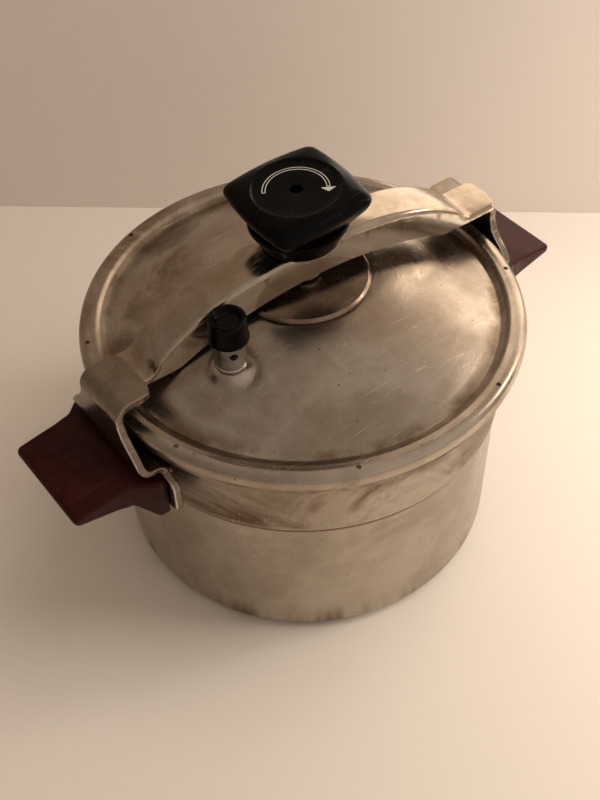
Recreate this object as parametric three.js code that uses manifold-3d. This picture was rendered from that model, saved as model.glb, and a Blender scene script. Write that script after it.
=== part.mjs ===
// Stovetop pressure cooker: pot, domed lid, arched clamping yoke, screw knob and weight valve.
// Millimetres. +Z is up, the pot stands on Z = 0, its axis is the Z axis and +X runs to a handle.
import * as THREE from 'three';
import { mergeVertices } from 'three/addons/utils/BufferGeometryUtils.js';
import Module from 'manifold-3d';

const wasm = await Module();
wasm.setup();

// ---------- shared allowances ----------
const GAP = 0.3; // between pieces that touch
const PLAY = 0.3; // running clearance on a radius
const DEG = Math.PI / 180;
const ROUND = 44; // sides of the pot, the lid and the gasket
const MEDIUM = 28; // sides of the lid plate and the knob collar
const SMALL = 20; // sides of screws, sleeves and bushes
const TINY = 12; // sides of rivets and small holes

// ---------- pot ----------
const WALL_R = 113.6; // outside radius of the body
const WALL = 3; // wall thickness
const BASE = 4; // bottom thickness
const BASE_FILLET = 15; // outside radius between wall and bottom
const RIM_Z = 145; // top of the rim
const RIM_H = 6.4; // height of the rim flange
const RIM_R = WALL_R + 7.4; // outside radius of the rim flange
const STEP_Z = RIM_Z - 44.5; // height of the ledge round the body
const STEP_OUT = 1.3; // how far the band above the ledge stands out

// ---------- lid ----------
const LID_R = RIM_R + 4; // outside radius of the rolled bead
const LID_T = 2.5; // sheet thickness
const BEAD_Z = RIM_Z + 5.5; // height of the widest part of the bead
const BEAD_H = 5.5; // bead height above BEAD_Z
const BEAD_W = 13; // bead width
const DOME_FOOT_R = LID_R - BEAD_W - 4; // radius where the dome starts
const DOME_FOOT_Z = BEAD_Z + 2; // height where the dome starts
const DOME_RISE = 24; // height of the dome
const DOME_FLAT_R = 40; // radius of the flat at the centre of the dome
const DOME_TOP = DOME_FOOT_Z + DOME_RISE;
const SEAT_SINK = 0.2; // flat at the centre, below the top of the dome
const HOLE_COUNT = 8; // relief holes along the bead
const HOLE_R = 1.35;
const LID_YAW = -2.1 * DEG; // how far the lid is turned from the handles
const PAD_R = 38.2; // reinforcing plate at the centre of the lid
const PAD_T = 2.8;
const PAD_BEVEL = 1.6;
const PAD_LOW = DOME_TOP - SEAT_SINK + GAP;
const PAD_TOP = PAD_LOW + PAD_T; // seat of the screw's foot
const STUD_R = 4;

// ---------- weight valve ----------
const VALVE_AT = new THREE.Vector2(-65, -24.4);
const BOSS_R = 9.3; // flat seat pressed in the lid
const BOSS_SKIRT_R = 13.3;
const BOSS_Z = domeHeight(VALVE_AT.length()) + 1.9;
const BOSS_DEEP = 7.6;
const STEM_BORE_R = 1.5;
const STEM_SHANK_R = 5;
const STEM_FLANGE_R = 8.3;
const STEM_FLANGE_T = 1.8;
const NOZZLE_R = 4.4;
const NOZZLE_H = 13.6; // nozzle height above its flange
const SLEEVE_R = 8.3;
const SLEEVE_BORE_R = 6;
const SLEEVE_H = 15.6; // visible height of the sleeve
const SLEEVE_NECK_R = 7;
const SLEEVE_NECK_H = 7.6;
const VENT_R = 2.2;
const VENT_ANGLE = -110 * DEG;
const PIN_ANGLE = -32 * DEG;
const PIN_R = 1;
const PIN_OUT = 1.8;
const CAP_R = 10.6;
const CAP_TOP_R = 9.8;
const CAP_H = 15;
const CAP_DISH = 3;

// ---------- catches and handles ----------
const CATCH_T = 4.6; // thickness of the catch strip
const CATCH_BEND = 4.5; // inside radius of its bends
const WEB_X = LID_R + 2; // inner face of the upright
const CATCH_INNER_X = WEB_X - 19; // inner edge of the hooking flange
const HOOK_Z = PAD_TOP - 10.5; // underside of the hooking flange
const HOOK_TOP = HOOK_Z + CATCH_T;
const HOOK_HALF = 18; // half width of the hook
const SHOULDER_HALF = 34; // half width where the strip passes under the rim
const PLATE_HALF = 46; // half width of the plate on the body
const PLATE_X = WALL_R + STEP_OUT + GAP; // inner face of the plate
const PLATE_OUT_X = PLATE_X + CATCH_T;
const PLATE_LOW_Z = RIM_Z - 34; // bottom of the plate
const SHELF_Z = RIM_Z - RIM_H - GAP; // top of the strip where it passes under the rim
const RIVET_Y = 27;
const RIVET_Z = RIM_Z - 22.5;
const RIVET_R = 3;
const RIVET_HEAD_R = 5.5;
const RIVET_HEAD_T = 1.8;
const TONGUE_HALF = 12;
const TONGUE_T = 4;
const TONGUE_LONG = 27;
const TONGUE_Z = RIM_Z - 25.4; // underside of the tongue
const HANDLE_END_X = PLATE_OUT_X + 50.2;
const HANDLE_LOW_Z = RIM_Z - 39; // bottom of the handle's foot
const HANDLE_HALF = 31.5;
const HANDLE_FOOT_HALF = 40;
const HANDLE_EDGE_T = 4.6;
const HANDLE_DROP = 3.5; // how far the top falls from pot to outer edge
const SCREW_X = PLATE_OUT_X + 19.5; // handle screw, from below
const SCREW_R = 2.5;
const SCREW_HEAD_R = 4.6;
const SCREW_HEAD_T = 2.2;
const WASHER_R = 5.6;
const WASHER_T = 0.8;

// ---------- yoke ----------
const YOKE_YAW = -5.3 * DEG; // turned from the catches
const YOKE_SHIFT = 1.6; // foot off the lid centre towards +X
const YOKE_HALF = WEB_X - 3.6; // half length
const YOKE_WIDE = 27;
const YOKE_T = 3.4; // thickness of the back
const YOKE_WALL = 3; // thickness of the side walls
const YOKE_CROWN = 26.1; // crown above the foot's seat
const YOKE_FALL_2 = 12.8; // fall of the back out to the bend, square term
const YOKE_FALL_4 = 11.6; // and fourth-power term
const YOKE_SKIRT = 7.6; // lower edge of the walls above the foot's seat
const SKIRT_FALL_2 = 19.6;
const SKIRT_FALL_4 = 2.9;
const BEND_X = YOKE_HALF - 27.4; // where the arch turns into the end tongue
const TIP_CORNER = 4;
const TIP_CLEAR = 2.2; // between each end tongue and its catch
// The end on +X lies on its catch and the end on -X is under its catch, so the yoke leans.
const YOKE_LEAN = (CATCH_T + YOKE_T + 2 * TIP_CLEAR) / (2 * CATCH_INNER_X);
const TIP_Z = HOOK_Z - PAD_TOP - TIP_CLEAR + YOKE_LEAN * (CATCH_INNER_X + YOKE_SHIFT); // its top

// ---------- screw, foot and knob (heights from the foot's seat on the lid plate) ----------
const SPINDLE_R = 6;
const FOOT_R = 9.8; // passes between the yoke's walls
const FOOT_H = 8.3;
const FOOT_FLOOR = 2.6;
const FOOT_DOME = 1.4; // crowned underside, so that the screw can lean
const CLIP_Z = 5;
const CLIP_T = 1;
const CLIP_R = 7.3;
const CLIP_GROOVE_R = 4.6;
const BUSH_R = 9.4;
const BUSH_PLATE_HALF = 10;
const BUSH_PLATE_LONG = 18;
const BUSH_PLATE_T = 4;
const BUSH_RIVET_X = 14;
const BUSH_RIVET_R = 1.8;
const COLLAR_LOW_R = 22;
const COLLAR_TOP_R = 27.5;
const COLLAR_H = 12.6;
const COLLAR_WALL = 3;
const KNOB_HALF = 31; // half width across the bowed sides
const KNOB_CORNER = 38.6; // centre to corner
const KNOB_ROUND = 6; // corner radius
const KNOB_FOOT = 0.74; // size at the bottom, as a share of the widest
const KNOB_H = 18.8;
const KNOB_RING_R = 23.4; // dished disc in the top
const KNOB_DISH = 1.3;
const KNOB_BORE_R = 8.8;
const KNOB_WELL_R = 3.3;
const KNOB_WELL_DEEP = 6.5;
const KNOB_SCREW_R = 1.7;
const KNOB_YAW = -4 * DEG - YOKE_YAW; // knob turned from the yoke

const COLOURS = {
  aluminium: [0xb8aea0, 0.42, 1],
  steel: [0xaaa7a2, 0.3, 1],
  brass: [0xb08d4a, 0.35, 1],
  black: [0x0d0d0d, 0.35, 0],
  bakelite: [0x4a1712, 0.4, 0],
  rubber: [0x2b2b2b, 0.8, 0],
};

const object = new THREE.Group();

// ---------- helpers ----------
function clean(geometry) {
  const g = geometry.index ? geometry.toNonIndexed() : geometry.clone();
  g.deleteAttribute('normal');
  g.deleteAttribute('uv');
  const merged = mergeVertices(g, 1e-4);
  const from = merged.index.array;
  const keep = [];
  for (let i = 0; i < from.length; i += 3) {
    const [a, b, c] = [from[i], from[i + 1], from[i + 2]];
    if (a !== b && b !== c && c !== a) keep.push(a, b, c);
  }
  merged.setIndex(keep);
  return outward(merged);
}

function outward(geometry) {
  const p = geometry.attributes.position;
  const index = geometry.index.array;
  const [a, b, c] = [new THREE.Vector3(), new THREE.Vector3(), new THREE.Vector3()];
  let volume = 0;
  for (let i = 0; i < index.length; i += 3) {
    a.fromBufferAttribute(p, index[i]);
    b.fromBufferAttribute(p, index[i + 1]);
    c.fromBufferAttribute(p, index[i + 2]);
    volume += a.dot(b.cross(c));
  }
  if (volume < 0) {
    const flipped = [];
    for (let i = 0; i < index.length; i += 3) flipped.push(index[i], index[i + 2], index[i + 1]);
    geometry.setIndex(flipped);
  }
  return geometry;
}

function toSolid(geometry) {
  const g = clean(geometry);
  const mesh = new wasm.Mesh({
    numProp: 3,
    vertProperties: new Float32Array(g.attributes.position.array),
    triVerts: new Uint32Array(g.index.array),
  });
  return new wasm.Manifold(mesh);
}

function toGeometry(solid) {
  const mesh = solid.getMesh();
  const g = new THREE.BufferGeometry();
  g.setAttribute('position', new THREE.BufferAttribute(new Float32Array(mesh.vertProperties), 3));
  g.setIndex(new THREE.BufferAttribute(new Uint32Array(mesh.triVerts), 1));
  return g;
}

function cut(geometry, ...tools) {
  return toGeometry(tools.reduce((solid, tool) => solid.subtract(toSolid(tool)), toSolid(geometry)));
}

function join(geometry, ...others) {
  return toGeometry(others.reduce((solid, other) => solid.add(toSolid(other)), toSolid(geometry)));
}

function common(geometry, ...others) {
  return toGeometry(others.reduce((solid, other) => solid.intersect(toSolid(other)), toSolid(geometry)));
}

// Solid of revolution about Z from [radius, height] points that start and end on the axis,
// or go once round a closed section.
function lathe(points, segments) {
  const [first, last] = [points[0], points[points.length - 1]];
  const onAxis = first[0] === 0 && last[0] === 0;
  const path = onAxis ? points : [...points, first];
  const g = new THREE.LatheGeometry(path.map(([r, z]) => new THREE.Vector2(r, z)), segments);
  return g.rotateX(Math.PI / 2);
}

function arc(cx, cz, radius, from, to, steps) {
  const points = [];
  for (let i = 0; i <= steps; i += 1) {
    const a = (from + ((to - from) * i) / steps) * DEG;
    points.push([cx + radius * Math.cos(a), cz + radius * Math.sin(a)]);
  }
  return points;
}

function rod(radius, low, high, segments = SMALL) {
  return lathe([[0, low], [radius, low], [radius, high], [0, high]], segments);
}

function tube(inner, outer, low, high, segments = SMALL) {
  return lathe([[inner, low], [outer, low], [outer, high], [inner, high]], segments);
}

function outline(points) {
  return new THREE.Shape(points.map(([x, y]) => new THREE.Vector2(x, y)));
}

// Section drawn in X and Z, extruded across Y and centred on it.
function sideExtrude(points, width) {
  const g = new THREE.ExtrudeGeometry(outline(points), { depth: width, bevelEnabled: false });
  return g.rotateX(Math.PI / 2).translate(0, width / 2, 0);
}

// Outline drawn in Y and Z, extruded along X from x0 to x1.
function frontExtrude(points, x0, x1) {
  const g = new THREE.ExtrudeGeometry(outline(points), { depth: x1 - x0, bevelEnabled: false });
  return g.rotateX(Math.PI / 2).rotateZ(Math.PI / 2).translate(x0, 0, 0);
}

// Outline drawn in X and Y, extruded up from z0 to z1.
function planExtrude(points, z0, z1) {
  const g = new THREE.ExtrudeGeometry(outline(points), { depth: z1 - z0, bevelEnabled: false });
  return g.translate(0, 0, z0);
}

function roundedBox(x0, x1, y0, y1, radius) {
  return [
    ...arc(x1 - radius, y1 - radius, radius, 0, 90, 5),
    ...arc(x0 + radius, y1 - radius, radius, 90, 180, 5),
    ...arc(x0 + radius, y0 + radius, radius, 180, 270, 5),
    ...arc(x1 - radius, y0 + radius, radius, 270, 360, 5),
  ];
}

function mirrored(half) {
  return [...half, ...half.slice().reverse().map(([y, z]) => [-y, z])];
}

function add(parent, name, geometry, colour) {
  const [color, roughness, metalness] = COLOURS[colour];
  const mesh = new THREE.Mesh(clean(geometry), new THREE.MeshStandardMaterial({ color, roughness, metalness }));
  mesh.name = name;
  parent.add(mesh);
  return mesh;
}

// ---------- pot body ----------
function potBody() {
  const inner = WALL_R - WALL;
  const bandR = WALL_R + STEP_OUT;
  const innerFillet = BASE_FILLET - WALL;
  const flangeLow = RIM_Z - RIM_H;
  return lathe([
    [0, 0],
    ...arc(WALL_R - BASE_FILLET, BASE_FILLET, BASE_FILLET, -90, 0, 4),
    [WALL_R, STEP_Z - STEP_OUT],
    [bandR, STEP_Z],
    [bandR, flangeLow],
    [RIM_R - 1, flangeLow],
    [RIM_R, flangeLow + 1],
    [RIM_R, RIM_Z - 1],
    [RIM_R - 1, RIM_Z],
    [inner + 1, RIM_Z],
    [inner, RIM_Z - 1],
    ...arc(inner - innerFillet, BASE + innerFillet, innerFillet, 0, -90, 3),
    [0, BASE],
  ], ROUND);
}

function alongX(geometry, x, y, z) {
  return geometry.rotateY(Math.PI / 2).translate(x, y, z);
}

function rivetHoles(side) {
  const reach = WALL_R + CATCH_T + 10;
  const start = WALL_R - 20;
  return [-1, 1].map((s) => alongX(rod(RIVET_R + PLAY, start, reach, TINY), 0, s * RIVET_Y, RIVET_Z)
    .rotateZ(side > 0 ? 0 : Math.PI));
}

// ---------- catch: bent strip that is riveted to the body and hooks over the yoke end ----------
function catchBody() {
  const bend = CATCH_BEND;
  const outerX = WEB_X + CATCH_T;
  const outerBend = bend + CATCH_T;
  const section = [
    [PLATE_X, PLATE_LOW_Z],
    [PLATE_OUT_X, PLATE_LOW_Z],
    [PLATE_OUT_X, SHELF_Z - CATCH_T - 1],
    [PLATE_OUT_X + 1, SHELF_Z - CATCH_T],
    ...arc(outerX - outerBend, SHELF_Z - CATCH_T + outerBend, outerBend, -90, 0, 4),
    ...arc(outerX - outerBend, HOOK_TOP - outerBend, outerBend, 0, 90, 4),
    [CATCH_INNER_X + 1, HOOK_TOP],
    [CATCH_INNER_X, HOOK_TOP - 1],
    [CATCH_INNER_X, HOOK_Z],
    ...arc(WEB_X - bend, HOOK_Z - bend, bend, 90, 0, 4),
    ...arc(WEB_X - bend, SHELF_Z + bend, bend, 0, -90, 4),
    [PLATE_X, SHELF_Z],
  ];
  const strip = sideExtrude(section, 2 * PLATE_HALF);
  const silhouette = frontExtrude(mirrored([
    [PLATE_HALF - 3, PLATE_LOW_Z - 1],
    [PLATE_HALF, PLATE_LOW_Z + 3],
    [PLATE_HALF, SHELF_Z - 10],
    [PLATE_HALF - 2, SHELF_Z - 6.5],
    [SHOULDER_HALF + 2, SHELF_Z - 4.5],
    [SHOULDER_HALF, SHELF_Z + 2],
    [SHOULDER_HALF - 5, BEAD_Z - 4],
    [HOOK_HALF + 3, BEAD_Z + 4],
    [HOOK_HALF, BEAD_Z + 11],
    [HOOK_HALF, HOOK_TOP + 1],
  ]), PLATE_X - 20, outerX + 5);
  const plan = planExtrude([
    [CATCH_INNER_X - 20, -PLATE_HALF - 1],
    [outerX + 2, -PLATE_HALF - 1],
    [outerX + 2, PLATE_HALF + 1],
    [CATCH_INNER_X - 20, PLATE_HALF + 1],
  ], PLATE_LOW_Z - 2, HOOK_Z - 2);
  const hookPlan = planExtrude(
    roundedBox(CATCH_INNER_X - 0.5, outerX + 8, -HOOK_HALF, HOOK_HALF, 6),
    HOOK_Z - 2, HOOK_TOP + 2,
  );
  const tongue = planExtrude(
    roundedBox(PLATE_OUT_X - 2, PLATE_OUT_X + TONGUE_LONG, -TONGUE_HALF, TONGUE_HALF, 1.5),
    TONGUE_Z, TONGUE_Z + TONGUE_T,
  );
  const body = common(strip, silhouette, join(plan, hookPlan));
  const screwHole = rod(SCREW_R + PLAY, TONGUE_Z - 2, TONGUE_Z + TONGUE_T + 2).translate(SCREW_X, 0, 0);
  return cut(join(body, tongue), screwHole, ...rivetHoles(1));
}

function rivet(y) {
  const inside = WALL_R - WALL - GAP;
  const outside = PLATE_OUT_X + GAP;
  const head = RIVET_HEAD_R;
  const reach = Math.sqrt(inside * inside - (Math.abs(y) + head) ** 2) - GAP;
  const g = lathe([
    [0, reach - RIVET_HEAD_T],
    [head - 1.5, reach - RIVET_HEAD_T],
    [head, reach],
    [RIVET_R, reach],
    [RIVET_R, outside],
    [head - 1, outside],
    [head - 2, outside + RIVET_HEAD_T],
    [0, outside + RIVET_HEAD_T],
  ], TINY);
  return alongX(g, 0, y, RIVET_Z);
}

// ---------- handle ----------
function handle() {
  const faceX = PLATE_OUT_X + GAP;
  const topZ = SHELF_Z - CATCH_T - 1.3;
  const endTop = topZ - HANDLE_DROP;
  const side = [
    [faceX, HANDLE_LOW_Z],
    [faceX + 6, HANDLE_LOW_Z],
    [faceX + 10, HANDLE_LOW_Z + 4],
    [faceX + 17, topZ - 16],
    [HANDLE_END_X - 1, endTop - HANDLE_EDGE_T],
    [HANDLE_END_X, endTop - HANDLE_EDGE_T + 1],
    [HANDLE_END_X, endTop - 1],
    [HANDLE_END_X - 1, endTop],
    [faceX + 12, topZ],
    [faceX, topZ],
  ];
  const body = sideExtrude(side, 2 * HANDLE_FOOT_HALF);
  const half = [
    [faceX - 1, HANDLE_FOOT_HALF],
    [faceX + 5, HANDLE_FOOT_HALF],
    [faceX + 16, HANDLE_HALF + 1.5],
    [faceX + 22, HANDLE_HALF],
    ...arc(HANDLE_END_X - 4, HANDLE_HALF - 4, 4, 90, 0, 4),
  ];
  const plan = planExtrude([
    ...half.slice().reverse(),
    ...half.map(([x, y]) => [x, -y]),
  ], HANDLE_LOW_Z - 2, topZ + 2);
  const slot = planExtrude([
    [faceX - 2, -TONGUE_HALF - PLAY],
    [PLATE_OUT_X + TONGUE_LONG + PLAY, -TONGUE_HALF - PLAY],
    [PLATE_OUT_X + TONGUE_LONG + PLAY, TONGUE_HALF + PLAY],
    [faceX - 2, TONGUE_HALF + PLAY],
  ], TONGUE_Z - PLAY, TONGUE_Z + TONGUE_T + PLAY);
  const recessTop = TONGUE_Z - 2.4;
  const shank = rod(SCREW_R + PLAY, HANDLE_LOW_Z, TONGUE_Z + TONGUE_T).translate(SCREW_X, 0, 0);
  const recess = rod(WASHER_R + PLAY, HANDLE_LOW_Z, recessTop, SMALL).translate(SCREW_X, 0, 0);
  const rivetPockets = [-1, 1].map((s) => alongX(
    rod(RIVET_HEAD_R + PLAY, faceX - 2, faceX + RIVET_HEAD_T + 3 * GAP, TINY), 0, s * RIVET_Y, RIVET_Z,
  ));
  return cut(common(body, plan), slot, shank, recess, ...rivetPockets);
}

const WASHER_LOW = TONGUE_Z - 2.4 - GAP - WASHER_T;

function handleScrew() {
  const headTop = WASHER_LOW - GAP;
  return lathe([
    [0, headTop - SCREW_HEAD_T],
    [SCREW_HEAD_R - 0.8, headTop - SCREW_HEAD_T],
    [SCREW_HEAD_R, headTop],
    [SCREW_R, headTop],
    [SCREW_R, TONGUE_Z + TONGUE_T - 0.6],
    [0, TONGUE_Z + TONGUE_T - 0.6],
  ], TINY).translate(SCREW_X, 0, 0);
}

function handleWasher() {
  return tube(SCREW_R + PLAY, WASHER_R, WASHER_LOW, WASHER_LOW + WASHER_T, SMALL).translate(SCREW_X, 0, 0);
}

// ---------- lid ----------
function domeHeight(r) {
  const span = DOME_FOOT_R ** 2 - DOME_FLAT_R ** 2;
  return DOME_FOOT_Z + DOME_RISE * (1 - (r * r - DOME_FLAT_R ** 2) / span);
}

const SKIRT_LOW = RIM_Z + 0.5;

function lidShell() {
  const steps = [0.2, 0.42, 0.62, 0.81, 1];
  const dome = steps.map((t) => DOME_FLAT_R + t * (DOME_FOOT_R - DOME_FLAT_R)).map((r) => [r, domeHeight(r)]);
  const under = dome.map(([r, z]) => [r, z - LID_T]).reverse();
  const beadC = LID_R - BEAD_H;
  const shell = lathe([
    [0, DOME_TOP - SEAT_SINK],
    [DOME_FLAT_R, DOME_TOP - SEAT_SINK],
    ...dome,
    [DOME_FOOT_R + 3.5, DOME_FOOT_Z],
    [DOME_FOOT_R + 7, BEAD_Z + BEAD_H - 1.2],
    ...arc(beadC, BEAD_Z, BEAD_H, 90, -10, 5),
    [LID_R - 1.2, SKIRT_LOW + 1],
    [LID_R - 2, SKIRT_LOW],
    [LID_R - 3.2, SKIRT_LOW],
    [LID_R - 3.2, BEAD_Z + 1.2],
    [beadC, BEAD_Z + BEAD_H - LID_T],
    [DOME_FOOT_R + 7.8, BEAD_Z + BEAD_H - LID_T - 1],
    [DOME_FOOT_R + 4.6, BEAD_Z - 0.2],
    ...under,
    [DOME_FLAT_R, DOME_TOP - LID_T],
    [0, DOME_TOP - LID_T],
  ], ROUND);
  const boss = lathe([
    [0, BOSS_Z - BOSS_DEEP],
    [BOSS_R, BOSS_Z - BOSS_DEEP],
    [BOSS_R + 1, BOSS_Z - BOSS_DEEP + 1],
    [BOSS_SKIRT_R, BOSS_Z - 4.5],
    [BOSS_R + 1, BOSS_Z - 0.6],
    [BOSS_R, BOSS_Z],
    [0, BOSS_Z],
  ], SMALL).translate(VALVE_AT.x, VALVE_AT.y, 0);
  const stemHole = rod(STEM_SHANK_R + PLAY, BOSS_Z - 20, BOSS_Z + 5).translate(VALVE_AT.x, VALVE_AT.y, 0);
  const studHole = rod(STUD_R + PLAY, DOME_TOP - 10, DOME_TOP + 5);
  const seat = rod(BOSS_R + 0.8, BOSS_Z, BOSS_Z + 12, SMALL).translate(VALVE_AT.x, VALVE_AT.y, 0);
  const holes = [];
  for (let i = 0; i < HOLE_COUNT; i += 1) {
    const a = LID_YAW + ((i + 0.5) * 2 * Math.PI) / HOLE_COUNT;
    const r = LID_R - BEAD_H + 0.6;
    holes.push(rod(HOLE_R, BEAD_Z + 1, BEAD_Z + BEAD_H + 2, TINY).translate(r * Math.cos(a), r * Math.sin(a), 0));
  }
  return cut(join(shell, boss), seat, stemHole, studHole, ...holes);
}

function gasket() {
  const low = RIM_Z + GAP;
  return lathe([
    [DOME_FOOT_R + 5.2, low],
    [LID_R - 3.6, low],
    [LID_R - 3.6, BEAD_Z + 0.6],
    [LID_R - 6, BEAD_Z + BEAD_H - LID_T - 0.8],
    [DOME_FOOT_R + 8.2, BEAD_Z + BEAD_H - LID_T - 1.6],
    [DOME_FOOT_R + 5.2, BEAD_Z - 0.8],
  ], ROUND);
}

// ---------- reinforcing plate on the lid, with the stud that holds it ----------
function lidPad() {
  const blind = 1.6;
  return lathe([
    [0, PAD_LOW + blind],
    [STUD_R + PLAY, PAD_LOW + blind],
    [STUD_R + PLAY, PAD_LOW],
    [PAD_R, PAD_LOW],
    [PAD_R, PAD_TOP - PAD_BEVEL],
    [PAD_R - PAD_BEVEL, PAD_TOP],
    [0, PAD_TOP],
  ], MEDIUM);
}

function padStud() {
  const under = DOME_TOP - LID_T - GAP;
  return lathe([
    [0, under - 2.2],
    [6, under - 2.2],
    [8, under],
    [STUD_R, under],
    [STUD_R, PAD_LOW + 1.3],
    [0, PAD_LOW + 1.3],
  ], SMALL);
}

// ---------- valve stem through the lid ----------
const STEM_Z = BOSS_Z + GAP;
const NOZZLE_TOP = STEM_Z + STEM_FLANGE_T + NOZZLE_H;
const BOSS_LOW = BOSS_Z - BOSS_DEEP;
const NUT_T = 4;
const SEAL_T = 1.5;

function valveStem() {
  const low = BOSS_LOW - SEAL_T - NUT_T - 4;
  return lathe([
    [STEM_BORE_R, low],
    [STEM_SHANK_R, low],
    [STEM_SHANK_R, STEM_Z],
    [STEM_FLANGE_R, STEM_Z],
    [STEM_FLANGE_R, STEM_Z + STEM_FLANGE_T - 0.5],
    [STEM_FLANGE_R - 0.8, STEM_Z + STEM_FLANGE_T],
    [NOZZLE_R, STEM_Z + STEM_FLANGE_T],
    [NOZZLE_R, NOZZLE_TOP - 2.5],
    [STEM_BORE_R + 0.8, NOZZLE_TOP],
    [STEM_BORE_R, NOZZLE_TOP],
  ], SMALL);
}

function stemSeal() {
  const high = BOSS_LOW - GAP;
  return tube(STEM_SHANK_R + PLAY, BOSS_R - 1, high - SEAL_T, high, SMALL);
}

function stemNut() {
  const high = BOSS_LOW - SEAL_T - 2 * GAP;
  const nut = rod(9, high - NUT_T, high, 6);
  return cut(nut, rod(STEM_SHANK_R + PLAY, high - NUT_T - 1, high + 1, SMALL));
}

// ---------- weight: sleeve, slug, cap and pin ----------
const SLEEVE_Z = STEM_Z + STEM_FLANGE_T + GAP;
const CAP_Z = SLEEVE_Z + SLEEVE_H;

function valveSleeve() {
  const neckTop = CAP_Z + SLEEVE_NECK_H;
  const shell = lathe([
    [SLEEVE_BORE_R, SLEEVE_Z],
    [SLEEVE_R - 0.5, SLEEVE_Z],
    [SLEEVE_R, SLEEVE_Z + 0.5],
    [SLEEVE_R, CAP_Z - GAP],
    [SLEEVE_NECK_R, CAP_Z - GAP],
    [SLEEVE_NECK_R, neckTop],
    [SLEEVE_BORE_R, neckTop],
  ], SMALL);
  const vent = alongX(rod(VENT_R, 2, SLEEVE_R + 2, TINY), 0, 0, CAP_Z - 6).rotateZ(VENT_ANGLE);
  const pinHole = alongX(rod(PIN_R + 0.2, 2, SLEEVE_R + 2, TINY), 0, 0, CAP_Z - 2.6).rotateZ(PIN_ANGLE);
  return cut(shell, vent, pinHole);
}

function valvePin() {
  const g = rod(PIN_R, SLEEVE_BORE_R + 0.2, SLEEVE_R + PIN_OUT, TINY);
  return alongX(g, 0, 0, CAP_Z - 2.6).rotateZ(PIN_ANGLE);
}

function valveSlug() {
  const low = NOZZLE_TOP + GAP;
  return lathe([
    [0, low + 1],
    [STEM_BORE_R + 0.6, low + 1],
    [STEM_BORE_R + 1.6, low],
    [SLEEVE_BORE_R - PLAY, low],
    [SLEEVE_BORE_R - PLAY, CAP_Z + SLEEVE_NECK_H - 0.4],
    [0, CAP_Z + SLEEVE_NECK_H - 0.4],
  ], SMALL);
}

function valveCap() {
  const top = CAP_Z + CAP_H;
  return lathe([
    [0, CAP_Z + SLEEVE_NECK_H + GAP],
    [SLEEVE_NECK_R + PLAY, CAP_Z + SLEEVE_NECK_H + GAP],
    [SLEEVE_NECK_R + PLAY, CAP_Z],
    [CAP_R - 0.6, CAP_Z],
    [CAP_R, CAP_Z + 0.8],
    [CAP_TOP_R, top - 1],
    [CAP_TOP_R - 1, top],
    [CAP_TOP_R - 2, top - 0.4],
    [CAP_TOP_R - 3, top - CAP_DISH * 0.7],
    [CAP_TOP_R - 5.5, top - CAP_DISH],
    [0, top - CAP_DISH],
  ], SMALL);
}

// ---------- yoke: arched channel, open underneath; heights from the foot's seat ----------
function backHeight(x) {
  const s = Math.min(Math.abs(x) / BEND_X, 1);
  return YOKE_CROWN - YOKE_FALL_2 * s ** 2 - YOKE_FALL_4 * s ** 4;
}

function skirtHeight(x) {
  const s = Math.abs(x) / BEND_X;
  return YOKE_SKIRT - SKIRT_FALL_2 * s ** 2 - SKIRT_FALL_4 * s ** 4;
}

function yokeBody() {
  const stations = [0, 0.14, 0.28, 0.42, 0.55, 0.67, 0.77, 0.87, 0.96, 1].map((t) => t * BEND_X);
  const bendTop = backHeight(BEND_X);
  const runOut = [
    [BEND_X + 2.5, bendTop + (TIP_Z - bendTop) * 0.45],
    [BEND_X + 5.5, bendTop + (TIP_Z - bendTop) * 0.85],
    [BEND_X + 8.5, TIP_Z - 0.4],
    [YOKE_HALF, TIP_Z],
  ];
  const tipLow = TIP_Z - YOKE_T;
  const topHalf = [...stations.map((x) => [x, backHeight(x)]), ...runOut];
  const lowHalf = [
    [YOKE_HALF, tipLow],
    [BEND_X, tipLow],
    [BEND_X - 5, skirtHeight(BEND_X - 5) + 1.5],
    ...[0.88, 0.72, 0.54, 0.36, 0.18, 0].map((t) => [t * BEND_X, skirtHeight(t * BEND_X)]),
  ];
  const right = [...topHalf, ...lowHalf];
  const left = right.slice(1, -1).reverse().map(([x, z]) => [-x, z]);
  const solid = sideExtrude([...right, ...left], YOKE_WIDE);
  const inside = stations.filter((x) => x < BEND_X).concat(BEND_X - 3);
  const ceiling = inside.map((x) => [x, backHeight(x) - YOKE_T]);
  const floor = -30;
  const hollow = sideExtrude([
    ...ceiling.slice(1).reverse().map(([x, z]) => [-x, z]),
    ...ceiling,
    [BEND_X - 3, floor],
    [3 - BEND_X, floor],
  ], YOKE_WIDE - 2 * YOKE_WALL);
  const halfWide = YOKE_WIDE / 2;
  const plan = planExtrude(roundedBox(-YOKE_HALF, YOKE_HALF, -halfWide, halfWide, TIP_CORNER), floor, 40);
  const bushHole = rod(BUSH_R + PLAY, 10, 40, SMALL);
  const rivets = [-1, 1].map((s) => rod(BUSH_RIVET_R + PLAY, 10, 40, TINY).translate(s * BUSH_RIVET_X, 0, 0));
  return cut(common(solid, plan), hollow, bushHole, ...rivets);
}

const CEILING = backHeight(BUSH_PLATE_LONG) - YOKE_T - GAP; // top of the bush plate

function yokeBush() {
  const low = CEILING - BUSH_PLATE_T;
  const plate = planExtrude(
    roundedBox(-BUSH_PLATE_LONG, BUSH_PLATE_LONG, -BUSH_PLATE_HALF, BUSH_PLATE_HALF, 3), low, CEILING,
  );
  const barrel = rod(BUSH_R, low - 2, YOKE_CROWN - 0.4, SMALL);
  const bore = rod(SPINDLE_R + PLAY, low - 4, YOKE_CROWN + 2, SMALL);
  const rivets = [-1, 1].map((s) => rod(BUSH_RIVET_R + PLAY, low - 2, 40, TINY).translate(s * BUSH_RIVET_X, 0, 0));
  return cut(join(plate, barrel), bore, ...rivets);
}

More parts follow.
